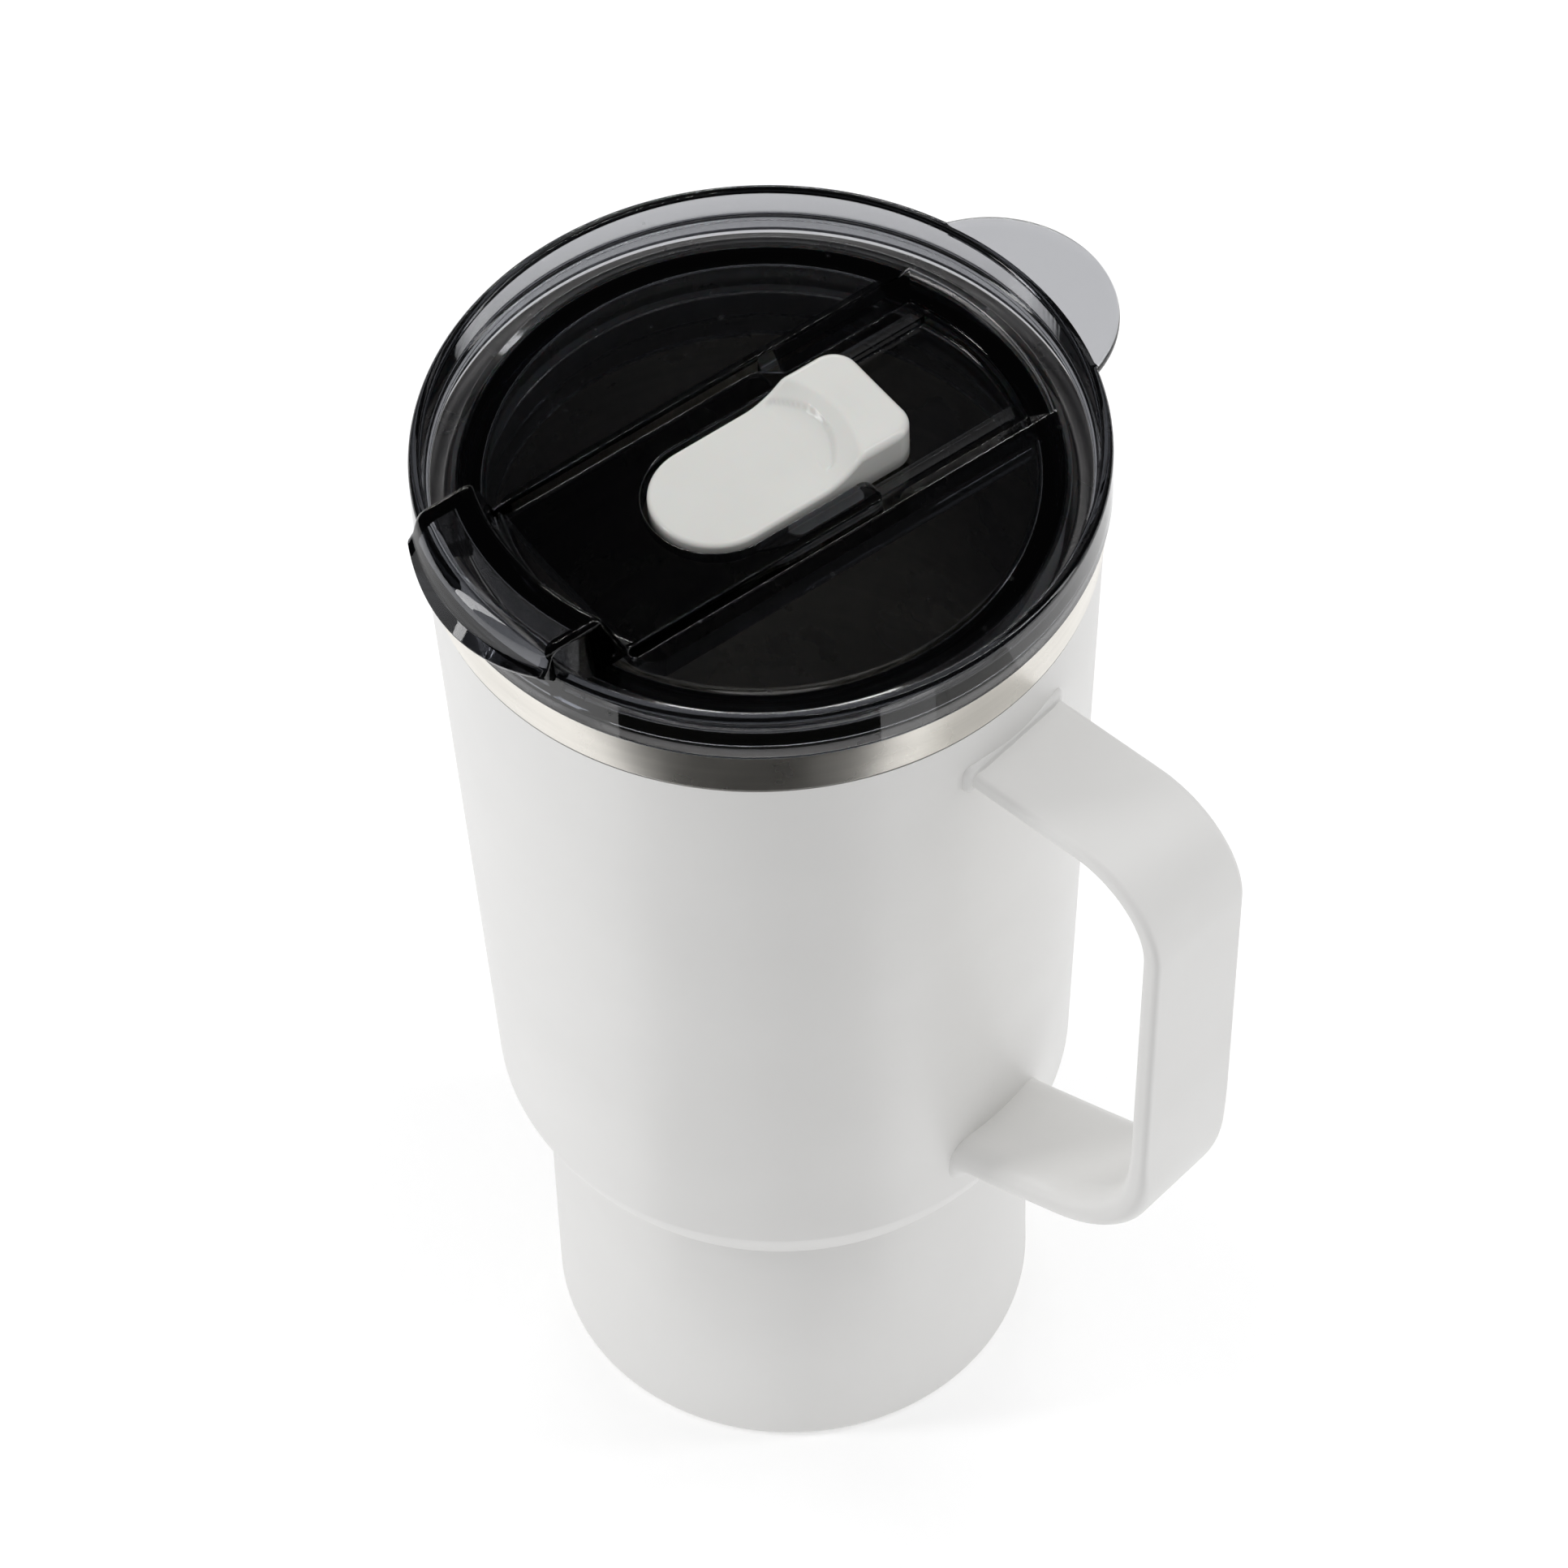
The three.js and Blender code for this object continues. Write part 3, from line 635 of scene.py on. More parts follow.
# %% Wrap the two pads on the body
def wrapped_pad(name, low, high, half, proud, corner, node):
    """A rounded rectangle (width, height), its edge a quarter round, wrapped on the body's cone."""
    outline = rounded([(half, low, corner), (half, high, corner), (-half, high, corner), (-half, low, corner)],
                      closed=True, steps=8)
    sunk = -0.3
    rise = np.linspace(0, np.pi / 2, 7)
    rings = [(grown(outline, 0), sunk)]
    rings += [(grown(outline, -proud * (1 - np.cos(a))), proud * np.sin(a)) for a in rise]
    middle = outline.mean(0)
    rings += [(middle + (rings[-1][0] - middle) * s, proud) for s in (0.8, 0.6, 0.4, 0.2, 0)]
    rings = [(middle + (rings[0][0] - middle) * s, sunk) for s in (0, 0.5)] + rings
    plan = np.stack([r for r, _ in rings])
    lift = np.array([h for _, h in rings])[:, None]
    radius = body_radius(plan[..., 1]) + lift
    angle = plan[..., 0] / body_radius(plan[..., 1])
    points = np.stack([radius * np.cos(angle), radius * np.sin(angle), plan[..., 1]], -1)
    piece = make_mesh(name, [surface(points, wrap_cols=True)])
    smooth(piece)
    return finish_piece(piece, COAT, "mug", [node])


wrapped_pad("upper_weld_pad", HANDLE_TOP_Z - 4.2, HANDLE_TOP_Z + 1.3, HANDLE_HALF + 1.0, 0.95, 1.6,
            "handle_upper_pad")
wrapped_pad("lower_weld_pad", 67.0, 74.8, HANDLE_HALF - 0.8, 0.5, 2.5, "handle_lower_pad")

# %% [markdown]
# ## Smoke plastic
# The lid is a clear plastic with grey dye through its whole thickness. Light loses half its strength in about two
# millimetres, so the thin tab over a pale table is light grey, while light that runs lengthways inside a wall is
# lost and the wall reads black. Only absorption inside the volume does both. Its density is worked out from the
# tab: strength left = exp(-density * (1 - colour) * thickness).

# %% Smoke plastic material
def smoke_plastic():
    """Clear shell with a few dust specks and faint moulding waves, and a grey dye that fills its volume."""
    material, tree, shader, place = new_material("smoke_plastic", IOR=1.5, Transmission_Weight=1.0)
    grain = use_group(tree, FINE_GRAIN, place, Scale=420.0)
    drift = use_group(tree, SOFT_VARIATION, place, Scale=70.0, Low=0.015, High=0.05)
    tone = use_group(tree, SOFT_VARIATION, place, Scale=35.0, Low=0.0, High=1.0)
    waves = use_group(tree, SOFT_VARIATION, place, Scale=130.0, Low=0.0, High=1.0)
    blend_colours(tree, shader, tone.outputs["Value"], (0.93, 0.93, 0.94), (0.97, 0.97, 0.98))
    colour = (0.30, 0.31, 0.335)
    half_strength_mm = 2.2
    density = math.log(2) / (half_strength_mm * MM * (1 - colour[1]))
    dye = add_node(tree, "ShaderNodeVolumeAbsorption", {"Color": (*colour, 1), "Density": density})
    tree.links.new(dye.outputs["Volume"], tree.nodes["Material Output"].inputs["Volume"])
    dust = add_node(tree, "ShaderNodeMath", {1: 0.25}, operation="MULTIPLY_ADD")
    tree.links.new(grain.outputs["Specks"], dust.inputs[0])
    tree.links.new(drift.outputs["Value"], dust.inputs[2])
    tree.links.new(dust.outputs[0], shader.inputs["Roughness"])
    add_bump(tree, shader, waves.outputs["Value"], 0.00004, 0.12)
    return material


SMOKE = smoke_plastic()
print("finish:", SMOKE.name)

# %% [markdown]
# ## Lid blank
# The lid is one moulding, but its shapes come from different families, so it is built as a mould maker would cut
# it: a turned blank, joined with a tray, a spout and a tab, and then cut by tools. Everything is made in the
# lid's own frame, with the tab along +A, and turned into place at the end.

# %% Turn the blank
SEAT_Z = RIM_Z + 0.3
SKIRT_R, SKIRT_T, SKIRT_Z = 42.0, 2.6, lid_low[2]
GROOVE_Z, GROOVE_H, GROOVE_DEPTH = 172.5, 5.0, 1.2
# RIM_WALL is the rim's thickness, and RING_R is where the thin ring groove runs round the deck.
RIM_WALL, RING_R = 1.5, 42.4


def lid_blank():
    """From the middle of the underside down the skirt, back up its groove, under and up the rim, which is one
    upstanding wall, over its crest, down its steep inner face and in over the deck."""
    wall_in = LID_R - RIM_WALL
    hollow_top = SEAT_Z + 2.0
    skirt_in = SKIRT_R - SKIRT_T
    groove_r = SKIRT_R - GROOVE_DEPTH
    groove_top = GROOVE_Z + GROOVE_H
    under = DECK_Z - DECK_T
    profile = rounded([
        (0, under, 0), (skirt_in, under, 1.2), (skirt_in, SKIRT_Z, 0.6), (SKIRT_R, SKIRT_Z, 0.6),
        (SKIRT_R, GROOVE_Z, 0.2), (groove_r, GROOVE_Z, 0.2), (groove_r, groove_top, 0.2),
        (SKIRT_R, groove_top, 0.2), (SKIRT_R, hollow_top - 0.2, 0.6), (wall_in, hollow_top + 0.2, 0.6),
        (wall_in, SEAT_Z, 0.3), (LID_R, SEAT_Z, 0.7), (LID_R, LID_TOP_Z, 0.9), (LID_R - 1.8, LID_TOP_Z, 0.7),
        (LID_R - 2.2, DECK_Z + 0.5, 1.3), (RING_R + 0.9, DECK_Z - 0.35, 0.7), (RING_R - 0.5, DECK_Z, 0.5),
        (0, DECK_Z, 0),
    ], steps=7)
    return make_mesh("lid_moulding", [turned(profile, closed=False)])


lid = lid_blank()
print("blank:", len(lid.data.polygons), "faces")

# %% [markdown]
# ## Tools for the lid
# A tool is a pile of outlines at rising heights. Where the tool leaves the deck its outlines grow outwards along
# an arc, so the cut has a rounded brim instead of a razor edge. Rounded brims catch thin highlights, and they are
# most of what the eye sees on dark clear plastic.

# %% Pile up outlines
def piled(levels):
    """A closed solid through outlines at heights: [(outline, height), ...] from the bottom up."""
    rings = np.stack([np.column_stack([outline, np.full(len(outline), height)]) for outline, height in levels])
    return make_mesh("cutter", [surface(rings, wrap_cols=True), cap(rings[0]), cap(rings[-1])])


def brim(outline_at, low, high, radius, foot=0.0, steps=6):
    """Levels of a cutter: a foot fillet at low, straight up, and a brim that flares by radius at high."""
    a = np.linspace(0, np.pi / 2, steps + 1)
    levels = []
    if foot:
        levels += [(grown(outline_at(low), -foot * (1 - np.sin(b))), low + foot * (1 - np.cos(b))) for b in a]
    else:
        levels.append((outline_at(low), low))
    if radius:
        levels += [(grown(outline_at(high), radius * (1 - np.cos(b))), high - radius * (1 - np.sin(b))) for b in a]
        levels.append((grown(outline_at(high), radius), high + 3))
    else:
        levels.append((outline_at(high), high))
    return levels


CHANNEL_HALF, PLATEAU_HALF, PLATEAU_END = 16.6, 15.0, 10.5
LEDGE_Z, LEDGE_HALF = 184.6, 13.8
TRACK_Z, TRACK_HALF, TRACK_FRONT = 183.0, 10.4, -8.0
TRACK_END_R, LEDGE_END_R = 37.8, 38.9
GROOVE_END, GROOVE_LEAN = -34.0, 0.3
TRAY_WALL, TRAY_FRONT, TRAY_CORNER = 2.1, -33.0, 3.0


def end_arc(half, radius, steps=24):
    """Points (a, p, 0) of the arc that closes a channel at the tab end, from -half to +half."""
    reach = math.asin(half / radius)
    t = np.linspace(-reach, reach, steps)
    return [(radius * math.cos(b), radius * math.sin(b), 0) for b in t]


def channel_outline(height):
    """The deck's cut: a wide bay behind the closure, its side walls sloping out with height, the slot that the
    closure sits in, and a thin groove on each side of the slot's plateau."""
    k = np.clip((height - LEDGE_Z) / (DECK_Z - LEDGE_Z), 0, 1)
    half = LEDGE_HALF + (CHANNEL_HALF - LEDGE_HALF) * k
    radius = LEDGE_END_R + (RING_R - 0.5 - LEDGE_END_R) * k
    groove = CHANNEL_HALF - GROOVE_LEAN * (1 - k)
    front = TRACK_FRONT - TRACK_HALF
    tip = 0.45 * (groove - PLATEAU_HALF)
    side = [
        (PLATEAU_END + 4, half, 2.0), (PLATEAU_END + 1, groove, 1.2), (GROOVE_END, groove, tip),
        (GROOVE_END, PLATEAU_HALF, tip), (PLATEAU_END, PLATEAU_HALF, 1.5), (PLATEAU_END, TRACK_HALF, 1.5),
        (front, TRACK_HALF, TRACK_HALF - 0.01),
    ]
    mirrored = [(a, -p, r) for a, p, r in side[::-1]]
    return rounded(end_arc(half, radius) + side + mirrored, closed=True, steps=16)


def track_outline(half, end_r, front=TRACK_FRONT):
    """The slot that the closure slides in: round front, straight sides, round end."""
    nose = (front - half, half, half - 0.01)
    return rounded(end_arc(half, end_r) + [nose, (nose[0], -half, nose[2])], closed=True, steps=16)


def tray_outline():
    """Plan of the tray under the deck: the channel's plan with its own wall round it."""
    half = CHANNEL_HALF + TRAY_WALL
    corners = [(TRAY_FRONT, half, TRAY_CORNER), (TRAY_FRONT, -half, TRAY_CORNER)]
    return rounded(end_arc(half, SKIRT_R - SKIRT_T + 0.5) + corners, closed=True, steps=8)


# %% [markdown]
# ## Spout
# The spout is a ridge that follows the rim for a third of the lid's width: a sloped inner face, a flat top and an
# outer face that leans out to a drip lip. Its section is carried across P, and each section point keeps its own
# radius from the mug's axis, so the ridge curves with the rim. Towards the ends the lip draws in and rises, so that
# seen from above it is a bow. The ends are square but softly rounded.

# %% Carry the spout's section across the lid
SPOUT_HALF, SPOUT_WALL, SPOUT_SOFT = 15.7, 2.2, 1.1
SPOUT_CORE, CORE_REACH = (45.5, 191.5), 6.0
LIP_R, LIP_Z = 53.0, 190.6
LIP_DRAWN_IN, LIP_RAISED = 1.6, 2.6


def spout_section():
    """Closed outline (radius, height) of the ridge."""
    top = SPOUT_TOP_Z
    return rounded([
        (34.6, DECK_Z - 0.8, 0), (48.7, DECK_Z - 0.8, 0.2), (48.7, LIP_Z - 0.3, 0.2), (LIP_R - 0.4, LIP_Z, 0.2),
        (LIP_R, LIP_Z + 0.7, 0.3), (51.6, 193.6, 4.0), (50.1, top - 0.1, 3.2), (41.0, top, 1.6),
        (37.2, 188.2, 2.5), (34.0, DECK_Z - 0.05, 0),
    ], closed=True, steps=6)


def spout_ridge():
    """x = -sqrt(radius^2 - p^2) for each section point. The end sections shrink towards a core by a quarter round,
    and the lip draws in and rises with the square of the share of the way to the end."""
    outline = spout_section()
    turn = np.linspace(0, np.pi / 2, 7)
    ends = SPOUT_HALF - SPOUT_SOFT * (1 - np.sin(turn))
    inset = SPOUT_SOFT * (1 - np.cos(turn))
    across = np.concatenate([-ends[::-1], np.linspace(-ends[0], ends[0], 42)[1:-1], ends])
    shrink = np.concatenate([inset[::-1], np.zeros(40), inset])
    core = np.array(SPOUT_CORE)
    sections = np.stack([core + (outline - core) * (1 - s / CORE_REACH) for s in shrink])
    p = np.broadcast_to(across[:, None], sections.shape[:2])
    radius, height = sections[..., 0], sections[..., 1]
    lip = np.clip((radius - LID_R) / (LIP_R - LID_R), 0, 1)
    swept = (p / SPOUT_HALF) ** 2
    below_top = np.clip((SPOUT_TOP_Z - height) / (SPOUT_TOP_Z - LIP_Z), 0, 1)
    radius = radius - LIP_DRAWN_IN * lip * swept
    height = height + LIP_RAISED * swept * lip * below_top
    points = np.stack([-np.sqrt(radius**2 - p**2), p, height], -1)
    return make_mesh("cutter", [surface(points, wrap_cols=True), cap(points[0]), cap(points[-1])])


def spout_hollow():
    """The core that leaves the spout a two millimetre wall, open below like the rim."""
    low, high = SEAT_Z + 1, SPOUT_TOP_Z - SPOUT_WALL
    outline = rounded([(44.4, low, 0.5), (46.9, low, 0.5), (48.2, high, 1.0), (43.6, high, 1.0)], closed=True)
    across = np.linspace(-SPOUT_HALF + SPOUT_WALL, SPOUT_HALF - SPOUT_WALL, 24)
    p, radius = np.meshgrid(across, outline[:, 0], indexing="ij")
    height = np.broadcast_to(outline[:, 1], p.shape)
    points = np.stack([-np.sqrt(radius**2 - p**2), p, height], -1)
    return make_mesh("cutter", [surface(points, wrap_cols=True), cap(points[0]), cap(points[-1])])


# %% [markdown]
# ## Lift tab
# The tab is a thin disc whose middle lies just inside the rim, so a crescent of it stands out for a thumb. It is
# made as a turned disc with a rounded edge, and a drum a little smaller than the rim trims away what lies inside.

# %% Turn the tab
TAB_CENTRE, TAB_R, TAB_T = 39.9, 18.4, 2.0


def lift_tab():
    """A turned disc with a rounded edge, moved out to its own centre, less a drum round the mug's axis."""
    profile = rounded([(0, LID_TOP_Z - TAB_T, 0), (TAB_R, LID_TOP_Z - TAB_T, 0.8), (TAB_R, LID_TOP_Z, 0.9),
                       (0, LID_TOP_Z, 0)])
    points, faces = turned(profile, 192, closed=False)
    tab = make_mesh("cutter", [(points + np.array([TAB_CENTRE, 0, 0]), faces)])
    return carve(tab, drum(LID_R - 1.2, 150, 210, segments=256))


# %% [markdown]
# ## Join and cut the lid
# First the joins, then the cuts, each with the exact solver. The last step is a weighted normal, which lets the
# big flat faces keep their flat shading while the small fillets bend the light between them.

# %% Make the lid
def hole(a, half_a, half_p):
    """An upright oval cutter through the track's floor."""
    t = np.linspace(0, 2 * np.pi, 64, endpoint=False)
    outline = np.stack([a + half_a * np.cos(t), half_p * np.sin(t)], 1)
    return piled([(outline, TRACK_Z - 4), (outline, TRACK_Z + 0.5)])


def turn_into_place(piece):
    """Turns a mesh from the lid's frame to the mug's: x = a ax - p ay, y = a ay + p ax."""
    ax, ay = TAB_WAY
    co = np.empty(len(piece.data.vertices) * 3)
    piece.data.vertices.foreach_get("co", co)
    a, p, z = co.reshape(-1, 3).T
    turned_points = np.stack([a * ax - p * ay, a * ay + p * ax, z], 1)
    piece.data.vertices.foreach_set("co", turned_points.ravel())
    piece.data.update()


def flat_shading(piece, sharp_degrees=32):
    """Smooth shading weighted by face area, applied."""
    smooth(piece, sharp_degrees)
    modifier = piece.modifiers.new("weighted", "WEIGHTED_NORMAL")
    modifier.keep_sharp = True
    modifier.weight = 80
    bpy.context.view_layer.update()
    result = bpy.data.meshes.new_from_object(piece.evaluated_get(bpy.context.evaluated_depsgraph_get()))
    piece.modifiers.clear()
    piece.data = result


# Each hole: its place along A, and its half sizes along A and P. UNDERCUT is the slot for the runners.
DRINK_HOLE, VENT_HOLE = (-10.5, 4.0, 6.0), (13.0, 1.0, 1.0)
UNDERCUT_HALF, UNDERCUT_FRONT = 12.2, -2.0


def finish_lid():
    """Tray, spout and tab joined on, then channel, slot, undercut, drink hole, vent and spout hollow cut out."""
    tray = tray_outline()
    carve(lid, piled([(grown(tray, -0.5), TRACK_Z - 2), (tray, TRACK_Z - 1.5), (tray, DECK_Z - 1)]), "UNION")
    carve(lid, spout_ridge(), "UNION")
    carve(lid, lift_tab(), "UNION")
    carve(lid, piled(brim(channel_outline, LEDGE_Z, DECK_Z, 0.45, foot=0.35)))
    slot = track_outline(TRACK_HALF - 0.02, TRACK_END_R)
    carve(lid, piled(brim(lambda z: slot, TRACK_Z, LEDGE_Z + 0.8, 0, foot=0.4)))
    undercut = track_outline(UNDERCUT_HALF, TRACK_END_R - 0.6, UNDERCUT_FRONT)
    carve(lid, piled([(undercut, TRACK_Z + 0.4), (undercut, TRACK_Z + 1.2)]))
    carve(lid, hole(*DRINK_HOLE))
    carve(lid, hole(*VENT_HOLE))
    carve(lid, spout_hollow())
    turn_into_place(lid)
    flat_shading(lid)
    return finish_piece(lid, SMOKE, "lid", ["lid_body"])


finish_lid()

# %% [markdown]
# ## Silicone
# The sealing ring and the pad under the closure are soft silicone: pale, slightly see-through at the edge, and
# dull. A little subsurface light softens the shade, and a fine moulded texture breaks the gloss.

# %% Silicone material and the sealing ring
def silicone():
    """Pale grey that drifts by soft noise, a dull gloss and a fine grain, with a little light under the skin."""
    material, tree, shader, place = new_material("silicone", IOR=1.41, Subsurface_Weight=0.25,
                                                 Subsurface_Scale=0.002)
    grain = use_group(tree, FINE_GRAIN, place, Scale=3600.0)
    tone = use_group(tree, SOFT_VARIATION, place, Scale=45.0, Low=0.0, High=1.0)
    gloss = use_group(tree, SOFT_VARIATION, place, Scale=80.0, Low=0.50, High=0.60)
    blend_colours(tree, shader, tone.outputs["Value"], (0.62, 0.62, 0.61), (0.68, 0.68, 0.67))
    tree.links.new(gloss.outputs["Value"], shader.inputs["Roughness"])
    add_bump(tree, shader, grain.outputs["Height"], 0.00002, 0.4)
    return material


SILICONE = silicone()


def sealing_ring():
    """A flat back in the skirt's groove, with two lips that wipe the mouth of the cup."""
    play, lip = 0.3, 43.7
    back = SKIRT_R - GROOVE_DEPTH + play
    low, high = GROOVE_Z + play, GROOVE_Z + GROOVE_H - play
    profile = rounded([
        (back, low, 0.2), (42.3, low, 0.4), (lip, low + 0.6, 0.25), (lip, low + 1.2, 0.25), (42.5, low + 1.6, 0.4),
        (42.5, high - 1.6, 0.4), (lip, high - 0.9, 0.25), (lip, high - 0.3, 0.25), (42.3, high, 0.4),
        (back, high, 0.2),
    ], closed=True)
    piece = make_mesh("sealing_ring", [turned(profile)])
    smooth(piece, 60)
    return finish_piece(piece, SILICONE, "lid", ["lid_gasket"])


sealing_ring()

# %% [markdown]
# ## Closure
# The closure is a glossy white moulding. Seen from above it is a slot shape, so every point of its top can be
# named by a place on the outline and a share of the way to the slot's middle line. The height is then a formula:
# a flat tongue, a concave ramp with a shallow scoop for the thumb, a crest, and a dished block. Rings crowd near
# the outline, where the edge is rounded.

# %% Work out the closure
SLIDER_HALF, SLIDER_REAR, REAR_CORNER = 9.5, 20.7, 4.0
SLIDER_TOP_Z = 187.8
THUMB_TOP_Z = slider_high[2]
SLIDER_LOW_Z = TRACK_Z + 0.9
# The ramp climbs from RAMP_FOOT to the crest, and the scoop ends at its rear edge. Both bow forwards at the sides.
RAMP_FOOT, CREST, CREST_BOW, CREST_SOFT = 3.6, 13.2, 2.2, 0.10
SCOOP_FRONT, SCOOP_REAR, SCOOP_MIDDLE, SCOOP_DEPTH = 6.7, 11.2, 1.0, 0.55
DISH_MIDDLE, DISH_DEPTH = 16.2, 0.45


def closure_outline():
    """Plan of the closure: round front, straight sides, rounded rear corners, at even steps round its edge."""
    front = TRACK_FRONT - SLIDER_HALF
    side = rounded([(SLIDER_REAR, 0, 0), (SLIDER_REAR, SLIDER_HALF, REAR_CORNER),
                    (front, SLIDER_HALF, SLIDER_HALF - 0.01), (front, 0, 0)], steps=24)
    along = np.concatenate([[0], np.cumsum(np.hypot(*np.diff(side, axis=0).T))])
    even = np.linspace(0, along[-1], 130)
    side = np.stack([np.interp(even, along, side[:, k]) for k in (0, 1)], 1)
    return np.concatenate([side, side[-2:0:-1] * np.array([1, -1])])


def closure_height(a, p):
    """Height of the top before its edge is rounded: tongue + (block - tongue) * rise - scoop - dish. The rise is
    the share of the ramp climbed, to the power 2.2, and then held at 1 by a smooth minimum, which is
    (rise + 1 - sqrt((rise - 1)^2 + soft^2)) / 2. The scoop deepens towards its rear edge, and the dish is a bell
    in the top of the block."""
    crest = CREST - CREST_BOW * (p / 8.6) ** 2
    climb = np.clip((a - RAMP_FOOT) / (crest - RAMP_FOOT), 0, 2)
    rise = climb**2.2
    rise = 0.5 * (rise + 1 - np.sqrt((rise - 1) ** 2 + CREST_SOFT**2))
    beside = p - SCOOP_MIDDLE
    arc = SCOOP_REAR - 0.062 * beside**2
    inside = ease(a, SCOOP_FRONT, SCOOP_FRONT + 0.3) * (1 - ease(a, arc - 0.3, arc + 0.1))
    inside = inside * (1 - ease(np.abs(beside), 7.1, 7.6))
    scoop = SCOOP_DEPTH * inside * ease(a, SCOOP_FRONT - 1, arc)
    block = ease(a, crest, crest + 3)
    dish = DISH_DEPTH * block * np.exp(-(((a - DISH_MIDDLE) / 3.2) ** 2) - (p / 5.5) ** 2)
    return SLIDER_TOP_Z + (THUMB_TOP_Z - SLIDER_TOP_Z) * rise - scoop - dish


def closure():
    """Rings from the underside up the side, round the edge by a quarter round, and in to the middle line."""
    outline = closure_outline()
    spine = np.stack([np.clip(outline[:, 0], TRACK_FRONT, SLIDER_REAR - SLIDER_HALF), np.zeros(len(outline))], 1)
    edge = np.linspace(0, np.pi / 2, 9)
    soft_at = 0.75 + 0.55 * ease(outline[:, 0], 6, 13)
    rings = []
    chamfer = 0.3
    for height, inset in ((SLIDER_LOW_Z, chamfer), (SLIDER_LOW_Z + chamfer, 0), (SLIDER_TOP_Z - 1.5, 0)):
        plan = grown(outline, -inset)
        rings.append(np.column_stack([plan, np.full(len(plan), height)]))
    for turn in edge:
        plan = grown(outline, -1)
        plan = outline + (plan - outline) * (soft_at * (1 - np.cos(turn)))[:, None]
        drop = soft_at * (1 - np.sin(turn))
        rings.append(np.column_stack([plan, closure_height(*plan.T) - drop]))
    inner = rings[-1][:, :2]
    for share in np.linspace(0, 1, 34)[1:]:
        plan = inner + (spine - inner) * share
        rings.append(np.column_stack([plan, closure_height(*plan.T)]))
    base = rings[0]
    floor = np.column_stack([spine, np.full(len(spine), SLIDER_LOW_Z)])
    points = np.stack([floor, 0.5 * (floor + base)] + rings)
    piece = make_mesh("drink_closure", [surface(points, wrap_cols=True)])
    carve(piece, runners(), "UNION")
    carve(piece, seal_seat())
    turn_into_place(piece)
    smooth(piece, 50)
    return finish_piece(piece, GLOSS, "closure", ["slider"])


def runners():
    """The two thin wings that keep the closure in its track, as one rounded rectangle through it."""
    half, front, rear = 11.8, -3.0, 9.5
    outline = rounded([(rear, half, 1.0), (rear, -half, 1.0), (front, -half, 2.0), (front, half, 2.0)], closed=True)
    return piled([(outline, TRACK_Z + 0.6), (outline, TRACK_Z + 1.0)])


def seal_seat():
    """The recess under the tongue that holds the silicone pad."""
    seal_high = box_mm("slider_seal")[1]
    t = np.linspace(0, 2 * np.pi, 64, endpoint=False)
    middle, half_a, half_p = -10.0, 6.3, 8.3
    outline = np.stack([middle + half_a * np.cos(t), half_p * np.sin(t)], 1)
    return piled([(outline, TRACK_Z), (outline, seal_high[2] + 0.3)])


# %% Glossy white moulding
def gloss_white():
    """Warm white that drifts by soft noise under a fairly sharp gloss, with a very fine moulded grain."""
    material, tree, shader, place = new_material("gloss_white", IOR=1.5, Subsurface_Weight=0.15,
                                                 Subsurface_Scale=0.001)
    grain = use_group(tree, FINE_GRAIN, place, Scale=1500.0)
    tone = use_group(tree, SOFT_VARIATION, place, Scale=60.0, Low=0.0, High=1.0)
    gloss = use_group(tree, SOFT_VARIATION, place, Scale=120.0, Low=0.14, High=0.22)
    blend_colours(tree, shader, tone.outputs["Value"], (0.71, 0.71, 0.68), (0.74, 0.74, 0.71))
    tree.links.new(gloss.outputs["Value"], shader.inputs["Roughness"])
    add_bump(tree, shader, grain.outputs["Height"], 0.000008, 0.3)
    return material


GLOSS = gloss_white()
closure()

# %% [markdown]
# ## Pieces that stay
# The getter and the vacuum seal sit inside the wall, and the pad sits under the closure. Their plain solids are
# already right, so they only get a finish: dull sintered metal, solder, and the same silicone.

# %% Finish the hidden pieces
def sintered(name, colour, roughness, scale):
    """Metal whose grain darkens the colour by up to a third and bends the normal."""
    material, tree, shader, place = new_material(name, Metallic=1.0)
    grain = use_group(tree, FINE_GRAIN, place, Scale=scale)
    gloss = use_group(tree, SOFT_VARIATION, place, Scale=300.0, Low=roughness - 0.06, High=roughness + 0.08)
    darkest = 0.7
    dark = tuple(darkest * c for c in colour)
    blend_colours(tree, shader, grain.outputs["Height"], dark, colour)
    tree.links.new(gloss.outputs["Value"], shader.inputs["Roughness"])
    add_bump(tree, shader, grain.outputs["Height"], 0.00004, 0.5)
    return material


def dress(node, material):
    """Puts a finish on a frame node."""
    mesh = frame["nodes"][node].data
    mesh.materials.clear()
    mesh.materials.append(material)
    print(f"{node}: {material.name}")


dress("getter", sintered("sintered_getter", (0.36, 0.36, 0.38), 0.55, 1800.0))
dress("vacuum_seal", sintered("solder_bead", (0.45, 0.45, 0.47), 0.35, 900.0))
dress("slider_seal", SILICONE)

# %% [markdown]
# ## Table and light
# A pale table and soft studio light. White on white needs care: the table glows faintly, as a lit sheet does, so
# it stays brighter than the mug, and the mug's sides get their shape from two tall, narrow softboxes. Dark clear
# plastic and bare steel show mostly what they mirror. So the big box overhead is kept out of reflections, a dark
# card on the table is seen only in them, and the world is dark in them. The lid then reads black, the steel band
# has a dark middle, and two thin strips of light draw the bright lines along the edges.

# %% Table
def mirror_rays(tree):
    """1 for rays that were reflected, 0 for rays that reach the eye directly or through clear plastic."""
    rays = add_node(tree, "ShaderNodeLightPath")
    only = add_node(tree, "ShaderNodeMath", operation="SUBTRACT", use_clamp=True)
    tree.links.new(rays.outputs["Is Glossy Ray"], only.inputs[0])
    tree.links.new(rays.outputs["Is Transmission Ray"], only.inputs[1])
    return only.outputs[0]


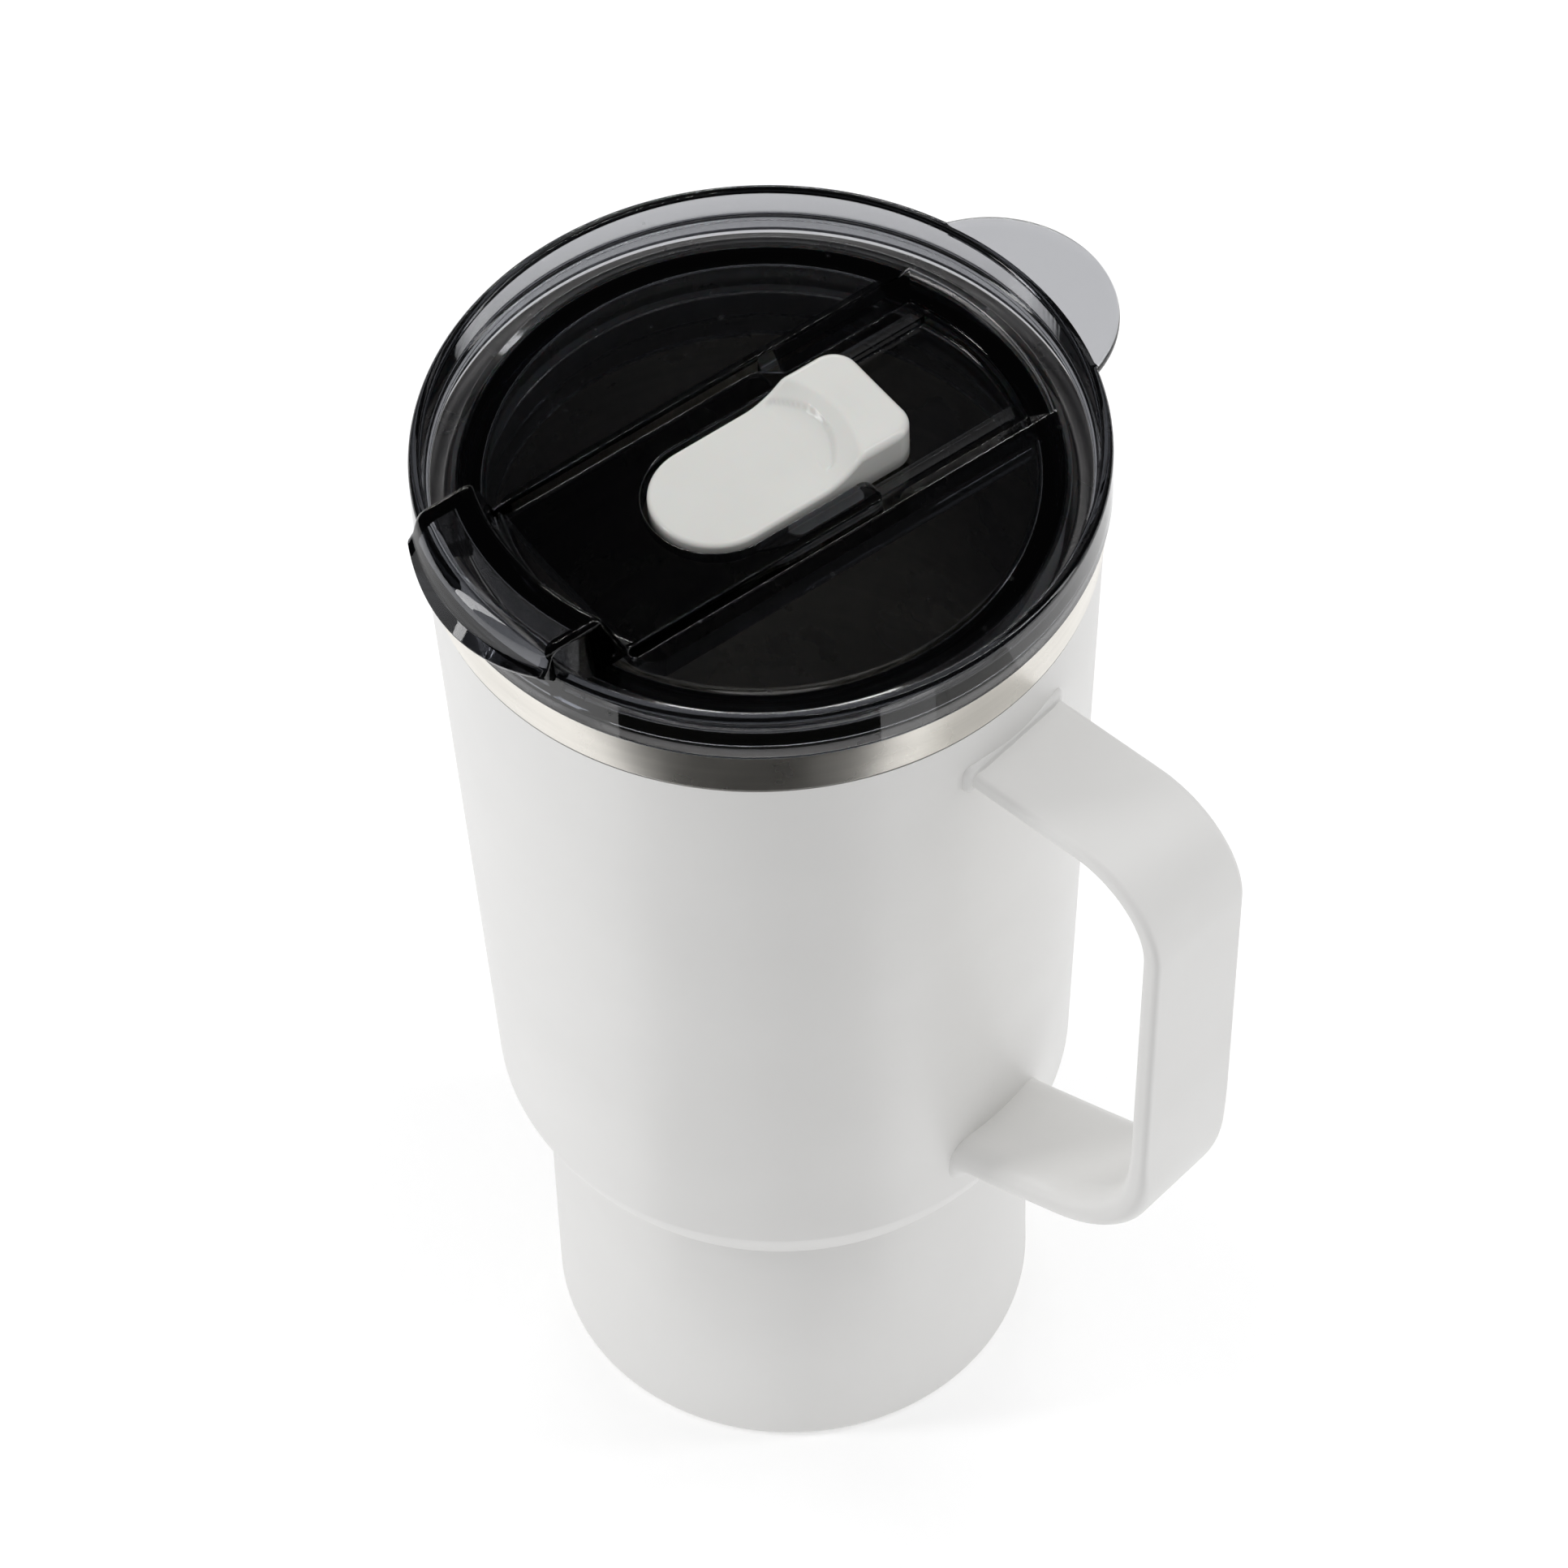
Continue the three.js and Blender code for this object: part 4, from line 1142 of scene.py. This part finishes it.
def studio_sheet(name, x, y, z, material):
    """A flat grid of points in metres at height z, facing up."""
    points = np.stack([x, y, np.full_like(x, z)], -1)
    mesh = bpy.data.meshes.new(name)
    mesh.from_pydata(points.reshape(-1, 3), [], grid_faces(*x.shape)[:, ::-1].tolist())
    mesh.materials.append(material)
    sheet = bpy.data.objects.new(name, mesh)
    bpy.context.scene.collection.objects.link(sheet)
    return sheet


def table():
    """A square of three by three points under a nearly white, dull finish with a faint glow of its own."""
    size, glow = 6.0, 0.3
    t = np.linspace(-size / 2, size / 2, 3)
    material, tree, shader, place = new_material("pale_table", IOR=1.3, Roughness=0.8, Specular_IOR_Level=0.1,
                                                 Emission_Color=(1, 1, 1, 1), Emission_Strength=glow)
    tone = use_group(tree, SOFT_VARIATION, place, Scale=3.0, Low=0.0, High=1.0)
    blend_colours(tree, shader, tone.outputs["Value"], (0.90, 0.90, 0.90), (0.93, 0.93, 0.93))
    studio_sheet("table", *np.meshgrid(t, t, indexing="ij"), 0.0, material)


def black_flag():
    """A dark card on the table between camera and mug, seen only in reflections: a fan of rings and spokes."""
    first, last = -91.0, -14.0
    near, far = 0.06, 0.9
    spokes = np.radians(np.linspace(first, last, 33))
    radius, angle = np.meshgrid(np.linspace(near, far, 5), spokes, indexing="ij")
    material, tree, shader, place = new_material("flag_cloth", Roughness=0.9)
    tone = use_group(tree, SOFT_VARIATION, place, Scale=6.0, Low=0.0, High=1.0)
    blend_colours(tree, shader, tone.outputs["Value"], (0.02, 0.02, 0.02), (0.04, 0.04, 0.04))
    flag = studio_sheet("black_flag", radius * np.cos(angle), radius * np.sin(angle), 0.001, material)
    flag.visible_camera = False
    flag.visible_diffuse = False
    flag.visible_transmission = False
    flag.visible_shadow = False


table()
black_flag()


# %% Softboxes
def softbox(name, place, aim, width, height, watts, mirrored=True):
    """A rectangular area light at a place, facing a point. Where it isn't mirrored, reflections don't show it."""
    light = bpy.data.lights.new(name, "AREA")
    light.shape = "RECTANGLE"
    light.size, light.size_y = width, height
    light.energy = watts
    lamp = bpy.data.objects.new(name, light)
    lamp.location = place
    lamp.rotation_euler = (Vector(aim) - Vector(place)).to_track_quat("-Z", "Y").to_euler()
    lamp.visible_glossy = mirrored
    bpy.context.scene.collection.objects.link(lamp)
    print(f"{name}: {watts} W, {'' if mirrored else 'not '}mirrored")


MIDDLE = (0.0, 0.0, 0.1)
softbox("overhead", (0.1, -0.1, 1.7), MIDDLE, 1.6, 1.6, 11.0, mirrored=False)
softbox("left_box", (-0.85, -0.95, 0.62), MIDDLE, 0.2, 1.1, 4.8)
softbox("right_box", (0.85, 0.85, 0.7), MIDDLE, 0.2, 1.2, 2.6)
softbox("top_strip", (0.35, 0.4, 1.5), MIDDLE, 0.06, 1.0, 2.0)
softbox("rear_strip", (-0.9, 0.8, 0.75), MIDDLE, 0.8, 0.06, 2.0)

world = bpy.data.worlds.new("studio")
bpy.context.scene.world = world
world.use_nodes = True
sky = world.node_tree.nodes["Background"]
LIT_WALLS, MIRRORED_WALLS = (0.75, 0.75, 0.76), (0.05, 0.05, 0.055)
walls = mixed(world.node_tree, mirror_rays(world.node_tree), LIT_WALLS, MIRRORED_WALLS)
world.node_tree.links.new(walls, sky.inputs["Color"])
sky.inputs["Strength"].default_value = 0.42

# %% [markdown]
# ## Camera
# The view looks steeply down past the handle with a long lens, as a product shot is taken. The camera is placed
# by an azimuth, an elevation and a distance from a point near the middle of the mug, and tipped a little.

# %% Camera
def product_camera():
    """Place = aim + distance * (sin az cos el, -cos az cos el, sin el), then a turn by the tip about the line of
    sight."""
    aim = Vector((1.0, 0.97, 116.06)) * MM
    azimuth, elevation, tip = (math.radians(d) for d in (44.23, 51.87, -2.30))
    distance = 1297.8 * MM
    away = Vector((math.sin(azimuth) * math.cos(elevation), -math.cos(azimuth) * math.cos(elevation),
                   math.sin(elevation)))
    data = bpy.data.cameras.new("product_camera")
    data.lens, data.sensor_width = 204.97, 36.0
    data.clip_start, data.clip_end = 0.05, 20.0
    camera = bpy.data.objects.new("product_camera", data)
    camera.location = aim + away * distance
    camera.rotation_mode = "QUATERNION"
    camera.rotation_quaternion = (-away).to_track_quat("-Z", "Y") @ Quaternion((0, 0, 1), tip)
    bpy.context.scene.collection.objects.link(camera)
    bpy.context.scene.camera = camera
    print("camera at", [round(v, 3) for v in camera.location])


product_camera()
view = bpy.context.scene.view_settings
view.view_transform = "Standard"
view.look = "None"
view.exposure = 0.0
